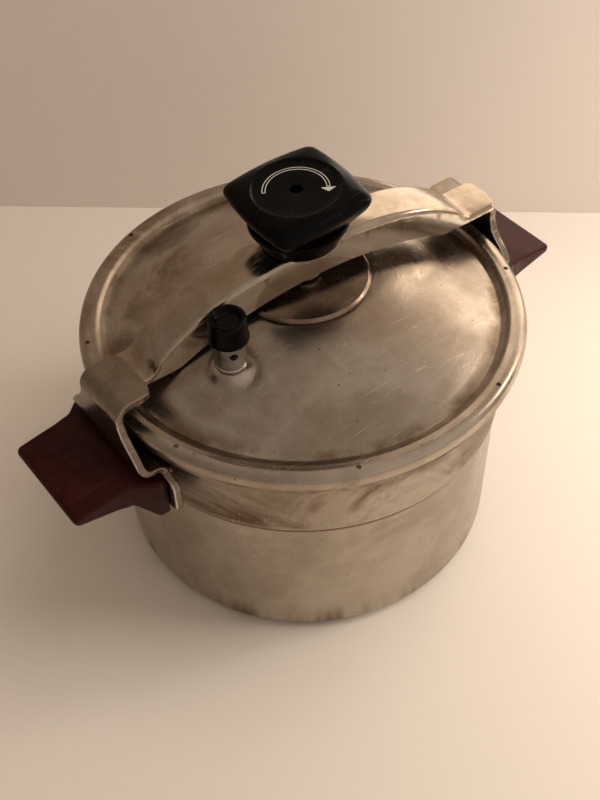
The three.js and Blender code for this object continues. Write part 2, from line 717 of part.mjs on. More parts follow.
function bushRivet(side) {
  const low = CEILING - BUSH_PLATE_T - GAP;
  const high = backHeight(BUSH_RIVET_X - 3) + GAP;
  return lathe([
    [0, low - 1],
    [2.6, low - 1],
    [3.2, low],
    [BUSH_RIVET_R, low],
    [BUSH_RIVET_R, high],
    [3, high],
    [2.4, high + 0.8],
    [0, high + 0.8],
  ], TINY).translate(side * BUSH_RIVET_X, 0, 0);
}

function spindleFoot() {
  const bore = SPINDLE_R + PLAY;
  return lathe([
    [0, GAP],
    [FOOT_R * 0.4, GAP + FOOT_DOME * 0.16],
    [FOOT_R * 0.75, GAP + FOOT_DOME * 0.56],
    [FOOT_R, GAP + FOOT_DOME],
    [FOOT_R, 4.5],
    [FOOT_R - 1.4, FOOT_H],
    [bore, FOOT_H],
    [bore, CLIP_Z + CLIP_T + GAP],
    [CLIP_R + PLAY, CLIP_Z + CLIP_T + GAP],
    [CLIP_R + PLAY, CLIP_Z - GAP],
    [bore, CLIP_Z - GAP],
    [bore, FOOT_FLOOR],
    [0, FOOT_FLOOR],
  ], SMALL);
}

function footClip() {
  return tube(CLIP_GROOVE_R + PLAY, CLIP_R, CLIP_Z, CLIP_Z + CLIP_T, SMALL);
}

const COLLAR_Z = YOKE_CROWN + 0.6; // bottom of the collar
const KNOB_Z = COLLAR_Z + COLLAR_H + GAP; // bottom of the knob
const KNOB_TOP = KNOB_Z + KNOB_H;
const WELL_FLOOR = KNOB_TOP - KNOB_DISH - KNOB_WELL_DEEP;
const BORE_CEILING = WELL_FLOOR - 2.6;

function spindle() {
  const top = BORE_CEILING - GAP;
  const tapped = top - 9;
  return lathe([
    [0, FOOT_FLOOR + GAP],
    [SPINDLE_R, FOOT_FLOOR + GAP],
    [SPINDLE_R, CLIP_Z - 0.1],
    [CLIP_GROOVE_R, CLIP_Z - 0.1],
    [CLIP_GROOVE_R, CLIP_Z + CLIP_T + 0.1],
    [SPINDLE_R, CLIP_Z + CLIP_T + 0.1],
    [SPINDLE_R, top],
    [KNOB_SCREW_R + PLAY, top],
    [KNOB_SCREW_R + PLAY, tapped],
    [0, tapped],
  ], SMALL);
}

function knobCollar() {
  const inner = SPINDLE_R + PLAY;
  const roof = COLLAR_Z + COLLAR_H - COLLAR_WALL;
  return lathe([
    [COLLAR_LOW_R - COLLAR_WALL, COLLAR_Z],
    [COLLAR_LOW_R - 0.6, COLLAR_Z],
    [COLLAR_LOW_R, COLLAR_Z + 0.8],
    [COLLAR_TOP_R, COLLAR_Z + COLLAR_H - 1],
    [COLLAR_TOP_R - 1, COLLAR_Z + COLLAR_H],
    [inner, COLLAR_Z + COLLAR_H],
    [inner, roof],
    [COLLAR_LOW_R - COLLAR_WALL, roof],
  ], MEDIUM);
}

function knobInsert() {
  return tube(SPINDLE_R + PLAY, KNOB_BORE_R - PLAY, KNOB_Z + 0.4, BORE_CEILING - GAP, SMALL);
}

// Points round the knob's outline: a square with bowed sides and rounded corners.
function knobOutline() {
  const q = (KNOB_CORNER - KNOB_ROUND) / Math.SQRT2; // centre of a corner's arc, both ways
  const inset = KNOB_HALF - q;
  const bow = (inset ** 2 + q * q - KNOB_ROUND ** 2) / (2 * (inset - KNOB_ROUND)); // radius of a side
  const edge = Math.atan2(q, q + bow - KNOB_HALF) / DEG; // where a side meets its corner
  const side = [-0.7, -0.35, 0, 0.35, 0.7].map((t) => t * edge * DEG)
    .map((a) => [KNOB_HALF - bow + bow * Math.cos(a), bow * Math.sin(a)]);
  const quarter = [...side, ...arc(q, q, KNOB_ROUND, edge, 90 - edge, 4)];
  return [0, 1, 2, 3].flatMap((k) => quarter.map(([x, y]) => {
    const turned = new THREE.Vector2(x, y).rotateAround(new THREE.Vector2(), k * Math.PI / 2);
    return [turned.x, turned.y];
  }));
}

function knob() {
  const square = knobOutline();
  const count = square.length;
  const scaled = (share) => square.map(([x, y]) => [x * share, y * share]);
  const round = (r) => square.map(([x, y]) => [x * r / Math.hypot(x, y), y * r / Math.hypot(x, y)]);
  const rings = [
    [round(KNOB_BORE_R), BORE_CEILING],
    [round(KNOB_BORE_R), KNOB_Z],
    [scaled(KNOB_FOOT), KNOB_Z],
    [scaled(KNOB_FOOT + 0.09), KNOB_Z + 4],
    [scaled(KNOB_FOOT + 0.2), KNOB_Z + 8.4],
    [scaled(1), KNOB_Z + 12.6],
    [scaled(0.98), KNOB_TOP - 3.8],
    [scaled(0.92), KNOB_TOP - 2],
    [round(KNOB_RING_R + 0.8), KNOB_TOP],
    [round(KNOB_RING_R), KNOB_TOP - 0.2],
    [round(KNOB_RING_R - 1), KNOB_TOP - KNOB_DISH * 0.6],
    [round(KNOB_RING_R - 8), KNOB_TOP - KNOB_DISH],
    [round(KNOB_WELL_R), KNOB_TOP - KNOB_DISH],
    [round(KNOB_WELL_R), WELL_FLOOR],
    [round(KNOB_SCREW_R + PLAY), WELL_FLOOR],
    [round(KNOB_SCREW_R + PLAY), BORE_CEILING],
  ];
  const points = [];
  const faces = [];
  rings.forEach(([ring, z], k) => {
    const next = (k + 1) % rings.length;
    for (let i = 0; i < count; i += 1) {
      const j = (i + 1) % count;
      points.push(ring[i][0], ring[i][1], z);
      faces.push(k * count + i, k * count + j, next * count + j);
      faces.push(k * count + i, next * count + j, next * count + i);
    }
  });
  const g = new THREE.BufferGeometry();
  g.setAttribute('position', new THREE.Float32BufferAttribute(points, 3));
  g.setIndex(faces);
  return g;
}

function knobScrew() {
  const headLow = WELL_FLOOR + GAP;
  const head = lathe([
    [0, BORE_CEILING - 7],
    [KNOB_SCREW_R, BORE_CEILING - 7],
    [KNOB_SCREW_R, headLow],
    [KNOB_WELL_R - PLAY, headLow],
    [KNOB_WELL_R - PLAY, headLow + 1.6],
    [KNOB_WELL_R - 1, headLow + 2.2],
    [0, headLow + 2.2],
  ], TINY);
  const slot = new THREE.BoxGeometry(10, 0.9, 2).translate(0, 0, headLow + 2.6);
  return cut(head, slot);
}

// ---------- assembly ----------
add(object, 'pot_body', cut(potBody(), ...rivetHoles(1), ...rivetHoles(-1)), 'aluminium');

[['right', 0], ['left', Math.PI]].forEach(([side, turn]) => {
  const group = new THREE.Group();
  group.rotation.z = turn;
  add(group, `catch_${side}`, catchBody(), 'aluminium');
  add(group, `handle_${side}`, handle(), 'bakelite');
  add(group, `handle_screw_${side}`, handleScrew(), 'steel');
  add(group, `handle_washer_${side}`, handleWasher(), 'steel');
  add(group, `catch_rivet_${side}_1`, rivet(-RIVET_Y), 'aluminium');
  add(group, `catch_rivet_${side}_2`, rivet(RIVET_Y), 'aluminium');
  object.add(group);
});

add(object, 'lid_shell', lidShell(), 'aluminium');
add(object, 'gasket', gasket(), 'rubber');
add(object, 'lid_plate', lidPad(), 'aluminium');
add(object, 'lid_plate_stud', padStud(), 'steel');

const valve = new THREE.Group();
valve.position.set(VALVE_AT.x, VALVE_AT.y, 0);
add(valve, 'valve_stem', valveStem(), 'steel');
add(valve, 'valve_seal', stemSeal(), 'rubber');
add(valve, 'valve_nut', stemNut(), 'steel');
add(valve, 'valve_sleeve', valveSleeve(), 'steel');
add(valve, 'valve_pin', valvePin(), 'steel');
add(valve, 'valve_slug', valveSlug(), 'brass');
add(valve, 'valve_cap', valveCap(), 'black');
object.add(valve);

const swing = new THREE.Group();
swing.position.set(YOKE_SHIFT, 0, PAD_TOP);
swing.rotation.z = YOKE_YAW;
const leaning = new THREE.Group();
leaning.rotation.y = -Math.asin(YOKE_LEAN);
swing.add(leaning);
add(leaning, 'yoke', yokeBody(), 'aluminium');
add(leaning, 'yoke_bush', yokeBush(), 'brass');
add(leaning, 'bush_rivet_1', bushRivet(-1), 'steel');
add(leaning, 'bush_rivet_2', bushRivet(1), 'steel');
add(leaning, 'screw_foot', spindleFoot(), 'steel');
const turning = new THREE.Group();
turning.rotation.z = KNOB_YAW;
leaning.add(turning);
add(turning, 'screw_spindle', spindle(), 'steel');
add(turning, 'foot_clip', footClip(), 'steel');
add(turning, 'knob_collar', knobCollar(), 'black');
add(turning, 'knob_insert', knobInsert(), 'brass');
add(turning, 'knob', knob(), 'black');
add(turning, 'knob_screw', knobScrew(), 'steel');
object.add(swing);

export default object;
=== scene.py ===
# Stovetop pressure cooker: the visible pieces, their finishes, the studio and the camera.
import math

import bpy
import bmesh
from mathutils import Matrix, Vector


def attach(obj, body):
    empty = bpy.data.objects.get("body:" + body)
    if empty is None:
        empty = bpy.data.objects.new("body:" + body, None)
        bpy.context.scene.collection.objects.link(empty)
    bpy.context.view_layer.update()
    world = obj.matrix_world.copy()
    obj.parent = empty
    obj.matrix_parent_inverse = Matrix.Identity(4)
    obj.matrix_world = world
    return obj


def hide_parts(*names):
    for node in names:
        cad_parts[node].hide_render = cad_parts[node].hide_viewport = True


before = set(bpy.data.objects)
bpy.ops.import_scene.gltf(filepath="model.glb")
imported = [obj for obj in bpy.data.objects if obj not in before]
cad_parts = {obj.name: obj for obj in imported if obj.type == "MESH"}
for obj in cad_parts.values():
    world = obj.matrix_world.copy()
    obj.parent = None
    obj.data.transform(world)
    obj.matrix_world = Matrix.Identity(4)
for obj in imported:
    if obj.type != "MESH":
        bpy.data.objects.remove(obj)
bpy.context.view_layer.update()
MM = 0.001
TURN = 2 * math.pi

# ---------- sizes, millimetres, as in the solid model ----------
CLEAR = 0.3  # between neighbouring pieces
WALL_R, WALL, BASE, BASE_FILLET = 113.6, 3.0, 4.0, 15.0
RIM_Z, RIM_H, RIM_R = 145.0, 6.4, 121.0
STEP_Z, STEP_OUT = 100.5, 1.3
LID_R, LID_T, BEAD_Z, BEAD_H = 125.0, 2.5, 150.5, 5.5
DOME_FOOT_R, DOME_FOOT_Z, DOME_RISE, DOME_FLAT_R = 108.0, 152.5, 24.0, 40.0
SEAT_Z = DOME_FOOT_Z + DOME_RISE - 0.2
HOLE_COUNT, HOLE_R, LID_YAW = 8, 1.35, math.radians(-2.1)
PAD_R, PAD_LOW, PAD_TOP = 38.2, 176.6, 179.4
VALVE_X, VALVE_Y, BOSS_R, BOSS_Z = -65.0, -24.4, 9.3, 170.72
STEM_Z, STEM_FLANGE_R, STEM_FLANGE_T, NOZZLE_R, NOZZLE_H = 171.02, 8.3, 1.8, 4.4, 13.6
SLEEVE_Z, SLEEVE_R, SLEEVE_BORE_R, SLEEVE_H = 173.12, 8.3, 6.0, 15.6
CAP_R, CAP_TOP_R, CAP_H, CAP_DISH, NECK_R, NECK_H = 10.6, 9.8, 15.0, 3.0, 7.0, 7.6
VENT_R, VENT_ANGLE, PIN_ANGLE = 2.2, math.radians(-110), math.radians(-32)
CATCH_T, CATCH_INNER_X, WEB_X, HOOK_Z = 4.6, 108.0, 127.0, 168.9
PLATE_X, PLATE_OUT_X, PLATE_LOW_Z, PLATE_HALF, SHELF_Z = 115.2, 119.8, 111.0, 46.0, 138.3
TONGUE_Z, TONGUE_T, TONGUE_LONG, TONGUE_HALF = 119.6, 4.0, 27.0, 12.0
RIVET_Y, RIVET_Z, RIVET_R, RIVET_HEAD_R, RIVET_START_X = 27.0, 122.5, 3.0, 5.5, 103.4
HANDLE_END_X, HANDLE_HALF, HANDLE_FOOT_HALF, HANDLE_LOW_Z = 170.0, 31.5, 40.0, 106.0
SCREW_X, SCREW_LOW_Z, SCREW_R, SCREW_HEAD_R, SCREW_HEAD_T = 139.3, 113.5, 2.5, 4.6, 2.2
WASHER_LOW_Z, WASHER_T, WASHER_R, SCREW_HOLE_R = 116.1, 0.8, 5.6, 2.8
YOKE_YAW, YOKE_SHIFT = math.radians(-5.3), 1.6
YOKE_HALF, YOKE_WIDE, YOKE_T, YOKE_WALL, BEND_X = 123.4, 27.0, 3.4, 3.0, 96.0
CROWN, FALL_2, FALL_4 = 26.1, 12.8, 11.6
SKIRT, SKIRT_FALL_2, SKIRT_FALL_4 = 7.6, 19.6, 2.9
TIP_CLEAR = 2.2
LEAN_SINE = (CATCH_T + YOKE_T + 2 * TIP_CLEAR) / (2 * CATCH_INNER_X)
YOKE_LEAN = math.asin(LEAN_SINE)
TIP_Z = HOOK_Z - PAD_TOP - TIP_CLEAR + LEAN_SINE * (CATCH_INNER_X + YOKE_SHIFT)
SPINDLE_R, THREAD_PITCH = 6.0, 2.0
BUSH_R = 9.4
COLLAR_LOW_R, COLLAR_TOP_R, COLLAR_Z, COLLAR_H = 22.0, 27.5, 26.7, 12.6
KNOB_Z, KNOB_TOP, KNOB_HALF, KNOB_CORNER, KNOB_ROUND = 39.6, 58.4, 31.0, 38.6, 6.0
RING_R, DISH, BORE_R, WELL_R, WELL_DEEP = 23.4, 1.3, 8.8, 3.3, 6.5
KNOB_YAW = math.radians(-4)
# The printed arrow: two lines round part of a circle, and its head.
ARC_IN, ARC_OUT, ARC_LINE = 15.7, 17.3, 0.22
ARC_START, ARC_END = math.radians(153), math.radians(-32)
ARROW_GAP, ARROW_LONG, ARROW_HALF = 0.5, 3.4, 4.0

# Frames: the yoke and screw lean, the knob is turned a little on the screw.
LEANING = (Matrix.Translation((YOKE_SHIFT * MM, 0, PAD_TOP * MM)) @ Matrix.Rotation(YOKE_YAW, 4, "Z")
           @ Matrix.Rotation(-YOKE_LEAN, 4, "Y"))
TURNING = LEANING @ Matrix.Rotation(KNOB_YAW - YOKE_YAW, 4, "Z")
VALVE = Matrix.Translation((VALVE_X * MM, VALVE_Y * MM, 0))
SIDES = {"right": Matrix.Identity(4), "left": Matrix.Rotation(math.pi, 4, "Z")}


# ---------- mesh helpers ----------
def make_piece(name, points, faces, place=None, smooth=32):
    """A mesh object from points in millimetres, shaded smooth below an angle in degrees."""
    mesh = bpy.data.meshes.new(name)
    mesh.from_pydata([(x * MM, y * MM, z * MM) for x, y, z in points], [], faces)
    obj = bpy.data.objects.new(name, mesh)
    bpy.context.scene.collection.objects.link(obj)
    settle(obj, place, smooth)
    return obj


def settle(obj, place=None, smooth=32):
    """Merges doubles, turns faces outwards, puts the mesh in its place and marks its sharp edges."""
    mesh = obj.data
    work = bmesh.new()
    work.from_mesh(mesh)
    bmesh.ops.remove_doubles(work, verts=work.verts, dist=1e-6)
    bmesh.ops.dissolve_degenerate(work, edges=work.edges, dist=1e-7)
    bmesh.ops.recalc_face_normals(work, faces=work.faces)
    work.to_mesh(mesh)
    work.free()
    if place is not None:
        mesh.transform(place)
    for polygon in mesh.polygons:
        polygon.use_smooth = True
    mesh.set_sharp_from_angle(angle=math.radians(smooth))


def baked(obj):
    """Replaces an object's mesh by what its modifiers give and removes the modifiers."""
    seen = obj.evaluated_get(bpy.context.evaluated_depsgraph_get())
    mesh = bpy.data.meshes.new_from_object(seen)
    obj.modifiers.clear()
    obj.data = mesh
    return obj


def cut(obj, *cutters):
    for cutter in cutters:
        step = obj.modifiers.new("cut", "BOOLEAN")
        step.operation = "DIFFERENCE"
        step.solver = "EXACT"
        step.object = cutter
        bpy.context.view_layer.update()
        baked(obj)
        bpy.data.objects.remove(cutter)
    settle(obj)
    return obj


def rounded(path, closed):
    """A polyline from (x, z, radius) corners, each corner of radius above 0 turned into an arc."""
    count = len(path)
    out = []
    for i, (x, z, radius) in enumerate(path):
        if radius <= 0 or (not closed and i in (0, count - 1)):
            out.append((x, z))
            continue
        here = Vector((x, z))
        back = Vector(path[i - 1][:2]) - here
        ahead = Vector(path[(i + 1) % count][:2]) - here
        half = back.angle(ahead) / 2
        reach = min(radius / math.tan(half), 0.49 * back.length, 0.49 * ahead.length)
        radius = reach * math.tan(half)
        start, end = here + back.normalized() * reach, here + ahead.normalized() * reach
        centre = here + (back.normalized() + ahead.normalized()).normalized() * (radius / math.sin(half))
        steps = max(2, min(10, round(math.degrees(math.pi - 2 * half) / 12)))
        a, b = start - centre, end - centre
        sweep = a.angle_signed(b)
        for k in range(steps + 1):
            turn = Matrix.Rotation(-sweep * k / steps, 2)
            p = centre + turn @ a
            out.append((p.x, p.y))
    return out


def loft(rings, closed, cap=True):
    """Points and faces through rings of equal length; closed joins the last ring to the first."""
    points = [p for ring in rings for p in ring]
    n, m = len(rings[0]), len(rings)
    faces = []
    for k in range(m if closed else m - 1):
        nxt = (k + 1) % m
        for i in range(n):
            j = (i + 1) % n
            faces.append((k * n + i, k * n + j, nxt * n + j, nxt * n + i))
    if cap and not closed:
        faces.append(tuple(range(n))[::-1])
        faces.append(tuple(range((m - 1) * n, m * n)))
    return points, faces


def turned(name, path, segments, place=None, smooth=32):
    """A turned piece from a path of (radius, height, corner radius) that closes on itself,
    or that starts and ends on the axis."""
    on_axis = path[0][0] == 0 and path[-1][0] == 0
    outline = rounded(path, not on_axis)
    rings = []
    for r, z in outline:
        rings.append([(r * math.cos(TURN * i / segments), r * math.sin(TURN * i / segments), z)
                      for i in range(segments)])
    points, faces = loft(rings, not on_axis, cap=False)
    return make_piece(name, points, faces, place, smooth)


def peg(radius, start, end, place, segments=32):
    """A plain round cutter along Z."""
    path = [(0, start, 0), (radius, start, 0), (radius, end, 0), (0, end, 0)]
    return turned("cutter", path, segments, place)


def ease(t):
    t = max(0.0, min(1.0, t))
    return t * t * (3 - 2 * t)


def line(points, x, smooth=False):
    """Value at x of straight lines, or of a smooth curve, through (x, value) points."""
    if x <= points[0][0]:
        return points[0][1]
    for (x0, v0), (x1, v1) in zip(points, points[1:]):
        if x <= x1:
            share = (x - x0) / (x1 - x0)
            return v0 + (v1 - v0) * (ease(share) if smooth else share)
    return points[-1][1]


def spread(start, end, count):
    return [start + (end - start) * i / count for i in range(count + 1)]


# ---------- Geometry Nodes: what repeats ----------
def new_tree(name, inputs):
    tree = bpy.data.node_groups.new(name, "GeometryNodeTree")
    tree.interface.new_socket("Geometry", in_out="INPUT", socket_type="NodeSocketGeometry")
    for label, kind, value in inputs:
        socket = tree.interface.new_socket(label, in_out="INPUT", socket_type=kind)
        if value is not None:
            socket.default_value = value
    tree.interface.new_socket("Geometry", in_out="OUTPUT", socket_type="NodeSocketGeometry")
    return tree, tree.nodes.new("NodeGroupInput"), tree.nodes.new("NodeGroupOutput")


def node(tree, kind, inputs=None, **settings):
    made = tree.nodes.new(kind)
    for key, value in settings.items():
        setattr(made, key, value)
    for key, value in (inputs or {}).items():
        socket = made.inputs[key]
        if isinstance(value, bpy.types.NodeSocket):
            tree.links.new(value, socket)
        else:
            socket.default_value = value
    return made


def figure(tree, operation, a, b=0.0):
    return node(tree, "ShaderNodeMath", {0: a, 1: b}, operation=operation).outputs[0]


def hole_ring_tree():
    """Round cutters set at equal steps round a circle."""
    tree, given, result = new_tree("relief_hole_ring", [
        ("Count", "NodeSocketInt", 8), ("Ring Radius", "NodeSocketFloat", 0.12),
        ("Hole Radius", "NodeSocketFloat", 0.001), ("Depth", "NodeSocketFloat", 0.005),
        ("Height", "NodeSocketFloat", 0.15), ("First Angle", "NodeSocketFloat", 0.0),
        ("Material", "NodeSocketMaterial", None)])
    ring = node(tree, "GeometryNodeMeshCircle", {
        "Vertices": given.outputs["Count"], "Radius": given.outputs["Ring Radius"]})
    height = node(tree, "ShaderNodeCombineXYZ", {"Z": given.outputs["Height"]})
    angle = node(tree, "ShaderNodeCombineXYZ", {"Z": given.outputs["First Angle"]})
    placed = node(tree, "GeometryNodeTransform", {
        "Geometry": ring.outputs["Mesh"], "Translation": height.outputs[0], "Rotation": angle.outputs[0]})
    drill = node(tree, "GeometryNodeMeshCylinder", {
        "Vertices": 20, "Radius": given.outputs["Hole Radius"], "Depth": given.outputs["Depth"]})
    many = node(tree, "GeometryNodeInstanceOnPoints", {
        "Points": placed.outputs[0], "Instance": drill.outputs["Mesh"]})
    real = node(tree, "GeometryNodeRealizeInstances", {"Geometry": many.outputs[0]})
    painted = node(tree, "GeometryNodeSetMaterial", {
        "Geometry": real.outputs[0], "Material": given.outputs["Material"]})
    tree.links.new(painted.outputs[0], result.inputs[0])
    return tree


def headed_pin_tree():
    """A row of round pins along Y, each along X, with a domed head at either end."""
    tree, given, result = new_tree("headed_pin_row", [
        ("Count", "NodeSocketInt", 2), ("Spacing", "NodeSocketFloat", 0.05),
        ("Length", "NodeSocketFloat", 0.02), ("Shank Radius", "NodeSocketFloat", 0.003),
        ("Near Head Radius", "NodeSocketFloat", 0.005), ("Near Head Height", "NodeSocketFloat", 0.002),
        ("Far Head Radius", "NodeSocketFloat", 0.005), ("Far Head Height", "NodeSocketFloat", 0.002),
        ("Material", "NodeSocketMaterial", None)])
    end = node(tree, "ShaderNodeCombineXYZ", {"X": given.outputs["Length"]})
    core = node(tree, "GeometryNodeCurvePrimitiveLine", {"End": end.outputs[0]})
    fine = node(tree, "GeometryNodeResampleCurve", {"Curve": core.outputs[0], "Count": 96})
    along = figure(tree, "MULTIPLY", node(tree, "GeometryNodeSplineParameter").outputs["Factor"],
                   given.outputs["Length"])
    left = figure(tree, "SUBTRACT", given.outputs["Length"], along)

    def head(distance, radius, height):
        # A quarter ellipse from the tip to the full head, then nothing past the head's height.
        depth = figure(tree, "DIVIDE", distance, height)
        inner = figure(tree, "SUBTRACT", 1.0, depth)
        swell = figure(tree, "SQRT", figure(tree, "MAXIMUM", 0.0, figure(
            tree, "SUBTRACT", 1.0, figure(tree, "MULTIPLY", inner, inner))))
        inside = figure(tree, "LESS_THAN", depth, 1.001)
        return figure(tree, "MULTIPLY", figure(tree, "MULTIPLY", swell, radius), inside)

    near = head(along, given.outputs["Near Head Radius"], given.outputs["Near Head Height"])
    far = head(left, given.outputs["Far Head Radius"], given.outputs["Far Head Height"])
    # The shank keeps clear of both tips, so that the heads stay round.
    clear = figure(tree, "MULTIPLY", figure(tree, "GREATER_THAN", along, 0.0006),
                   figure(tree, "GREATER_THAN", left, 0.0006))
    shank = figure(tree, "MULTIPLY", given.outputs["Shank Radius"], clear)
    radius = figure(tree, "MAXIMUM", figure(tree, "MAXIMUM", near, far), figure(tree, "MAXIMUM", shank, 1e-5))
    profile = node(tree, "GeometryNodeSetCurveRadius", {"Curve": fine.outputs[0], "Radius": radius})
    circle = node(tree, "GeometryNodeCurvePrimitiveCircle", {"Resolution": 32, "Radius": 1.0})
    scale = node(tree, "GeometryNodeCurveToMesh", {
        "Curve": profile.outputs[0], "Profile Curve": circle.outputs[0], "Fill Caps": True})
    if "Scale" in scale.inputs:
        tree.links.new(radius, scale.inputs["Scale"])
    step = node(tree, "ShaderNodeCombineXYZ", {"Y": given.outputs["Spacing"]})
    row = node(tree, "GeometryNodeMeshLine", {"Count": given.outputs["Count"], "Offset": step.outputs[0]})
    many = node(tree, "GeometryNodeInstanceOnPoints", {
        "Points": row.outputs[0], "Instance": scale.outputs[0]})
    real = node(tree, "GeometryNodeRealizeInstances", {"Geometry": many.outputs[0]})
    painted = node(tree, "GeometryNodeSetMaterial", {
        "Geometry": real.outputs[0], "Material": given.outputs["Material"]})
    tree.links.new(painted.outputs[0], result.inputs[0])
    return tree


def grown(name, tree, values, place=None):
    """Runs a tree with named values and returns its result as a plain mesh."""
    carrier = bpy.data.objects.new(name, bpy.data.meshes.new(name))
    bpy.context.scene.collection.objects.link(carrier)
    step = carrier.modifiers.new("grow", "NODES")
    step.node_group = tree
    names = {item.name: item.identifier for item in tree.interface.items_tree if item.in_out == "INPUT"}
    for label, value in values.items():
        step[names[label]] = value
    bpy.context.view_layer.update()
    baked(carrier)
    settle(carrier, place)
    return carrier


# ---------- shader helpers ----------
class Net:
    """Short calls for building one shader tree."""

    def __init__(self, tree):
        self.tree = tree

    def add(self, kind, inputs=None, **settings):
        return node(self.tree, kind, inputs, **settings)

    def math(self, operation, a, b=0.0, clamp=False):
        return self.add("ShaderNodeMath", {0: a, 1: b}, operation=operation, use_clamp=clamp).outputs[0]

    def plus(self, a, b, clamp=False):
        return self.math("ADD", a, b, clamp)

    def minus(self, a, b, clamp=False):
        return self.math("SUBTRACT", a, b, clamp)

    def times(self, a, b, clamp=False):
        return self.math("MULTIPLY", a, b, clamp)

    def reach(self, x, y):
        return self.math("SQRT", self.plus(self.times(x, x), self.times(y, y)))

    def noise(self, vector, scale, detail=3.0, rough=0.55, distort=0.0):
        return self.add("ShaderNodeTexNoise", {
            "Vector": vector, "Scale": scale, "Detail": detail, "Roughness": rough,
            "Distortion": distort}).outputs["Fac"]

    def ramp(self, value, low, high):
        return self.add("ShaderNodeMapRange", {
            "Value": value, "From Min": low, "From Max": high, "To Min": 0.0, "To Max": 1.0},
            interpolation_type="SMOOTHSTEP").outputs["Result"]

    def mix(self, factor, a, b, blend="MIX"):
        made = self.add("ShaderNodeMix", data_type="RGBA", blend_type=blend)
        for socket, value in ((made.inputs[0], factor), (made.inputs[6], a), (made.inputs[7], b)):
            if isinstance(value, bpy.types.NodeSocket):
                self.tree.links.new(value, socket)
            else:
                socket.default_value = value if isinstance(value, float) else (*value, 1)
        return made.outputs[2]

    def blend(self, factor, a, b):
        return self.plus(self.times(a, self.minus(1.0, factor)), self.times(b, factor))

    def mapped(self, vector, scale=(1, 1, 1), turn=(0, 0, 0), move=(0, 0, 0)):
        return self.add("ShaderNodeMapping", {
            "Vector": vector, "Scale": scale, "Rotation": turn, "Location": move}).outputs[0]


def effect(name, inputs, outputs, build):
    """A shader node group with named inputs and outputs."""
    tree = bpy.data.node_groups.new(name, "ShaderNodeTree")
    for label, value in inputs:
        kind = "NodeSocketVector" if value is None else "NodeSocketFloat"
        socket = tree.interface.new_socket(label, in_out="INPUT", socket_type=kind)
        if value is not None:
            socket.default_value = value
    for label in outputs:
        tree.interface.new_socket(label, in_out="OUTPUT", socket_type="NodeSocketFloat")
    given, result = tree.nodes.new("NodeGroupInput"), tree.nodes.new("NodeGroupOutput")
    for label, value in build(Net(tree), given.outputs).items():
        tree.links.new(value, result.inputs[label])
    return tree


def scratches(net, given):
    """Thin straight scratches in three directions, broken up into short runs."""
    total = None
    for turn, stretch in ((0.4, 1.0), (1.7, 1.3), (2.6, 0.8)):
        along = net.mapped(given["Vector"], scale=(14 * stretch, 900 * stretch, 220),
                           turn=(0.3 * turn, 0, turn))
        thin = net.ramp(net.noise(along, 1.0, 2.0), 0.665, 0.70)
        patch = net.ramp(net.noise(net.mapped(given["Vector"], move=(turn, 0, 0)), 26.0, 2.0), 0.5, 0.62)
        mark = net.times(thin, patch)
        total = mark if total is None else net.math("MAXIMUM", total, mark)
    return {"Scratches": net.times(total, given["Amount"], clamp=True)}


def spun_lines(net, given):
    """Fine lines that run round the vertical axis, as a spun or turned surface has."""
    parts = net.add("ShaderNodeSeparateXYZ", {0: given["Vector"]})
    x, y, z = parts.outputs
    r = net.reach(x, y)
    safe = net.math("MAXIMUM", r, 1e-4)
    across = net.times(net.plus(r, z), given["Frequency"])
    ring = net.add("ShaderNodeCombineXYZ", {
        "X": net.math("DIVIDE", x, safe), "Y": net.math("DIVIDE", y, safe), "Z": across}).outputs[0]
    fine = net.noise(ring, 1.0, 4.0, 0.7)
    broad = net.noise(net.mapped(ring, scale=(1.6, 1.6, 0.13)), 1.0, 3.0, 0.6)
    return {"Lines": net.blend(0.35, fine, broad)}


def heat_stain(net, given):
    """Cloudy patches at two sizes."""
    large = net.noise(given["Vector"], given["Scale"], 3.0, 0.6, 0.6)
    small = net.noise(given["Vector"], net.times(given["Scale"], 5.0), 4.0, 0.65, 0.3)
    return {"Cloud": net.ramp(net.blend(0.35, large, small), 0.36, 0.66)}


def pits(net, given):
    """Small dark spots, only where chance allows."""
    cells = net.add("ShaderNodeTexVoronoi", {"Vector": given["Vector"], "Scale": given["Scale"]},
                    feature="F1")
    dot = net.ramp(cells.outputs["Distance"], 0.16, 0.05)
    parts = net.add("ShaderNodeSeparateColor", {0: cells.outputs["Color"]})
    chosen = net.ramp(parts.outputs[0], 0.86, 0.9)
    return {"Pits": net.times(dot, chosen)}


def edge_wear(net, given):
    """Convex edges, from the shape itself, broken up a little."""
    sharp = net.add("ShaderNodeNewGeometry").outputs["Pointiness"]
    rough = net.noise(given["Vector"], 240.0, 3.0)
    lifted = net.plus(sharp, net.times(net.minus(rough, 0.5), 0.03))
    return {"Edges": net.ramp(lifted, given["Start"], net.plus(given["Start"], 0.05))}


SCRATCHES = effect("fine_scratches", [("Vector", None), ("Amount", 1.0)], ["Scratches"], scratches)
SPUN = effect("spun_lines", [("Vector", None), ("Frequency", 900.0)], ["Lines"], spun_lines)
STAIN = effect("heat_stain", [("Vector", None), ("Scale", 14.0)], ["Cloud"], heat_stain)
PITS = effect("pits", [("Vector", None), ("Scale", 260.0)], ["Pits"], pits)
EDGES = effect("edge_wear", [("Vector", None), ("Start", 0.53)], ["Edges"], edge_wear)


def started(name):
    """A new material with its Principled shader and Object coordinates."""
    material = bpy.data.materials.new(name)
    material.use_nodes = True
    net = Net(material.node_tree)
    shader = material.node_tree.nodes["Principled BSDF"]
    place = net.add("ShaderNodeTexCoord").outputs["Object"]
    return material, net, shader, place


def use(net, tree, **inputs):
    made = net.add("ShaderNodeGroup", node_tree=tree)
    for label, value in inputs.items():
        socket = made.inputs[label]
        if isinstance(value, bpy.types.NodeSocket):
            net.tree.links.new(value, socket)
        else:
            socket.default_value = value
    return made.outputs[0]


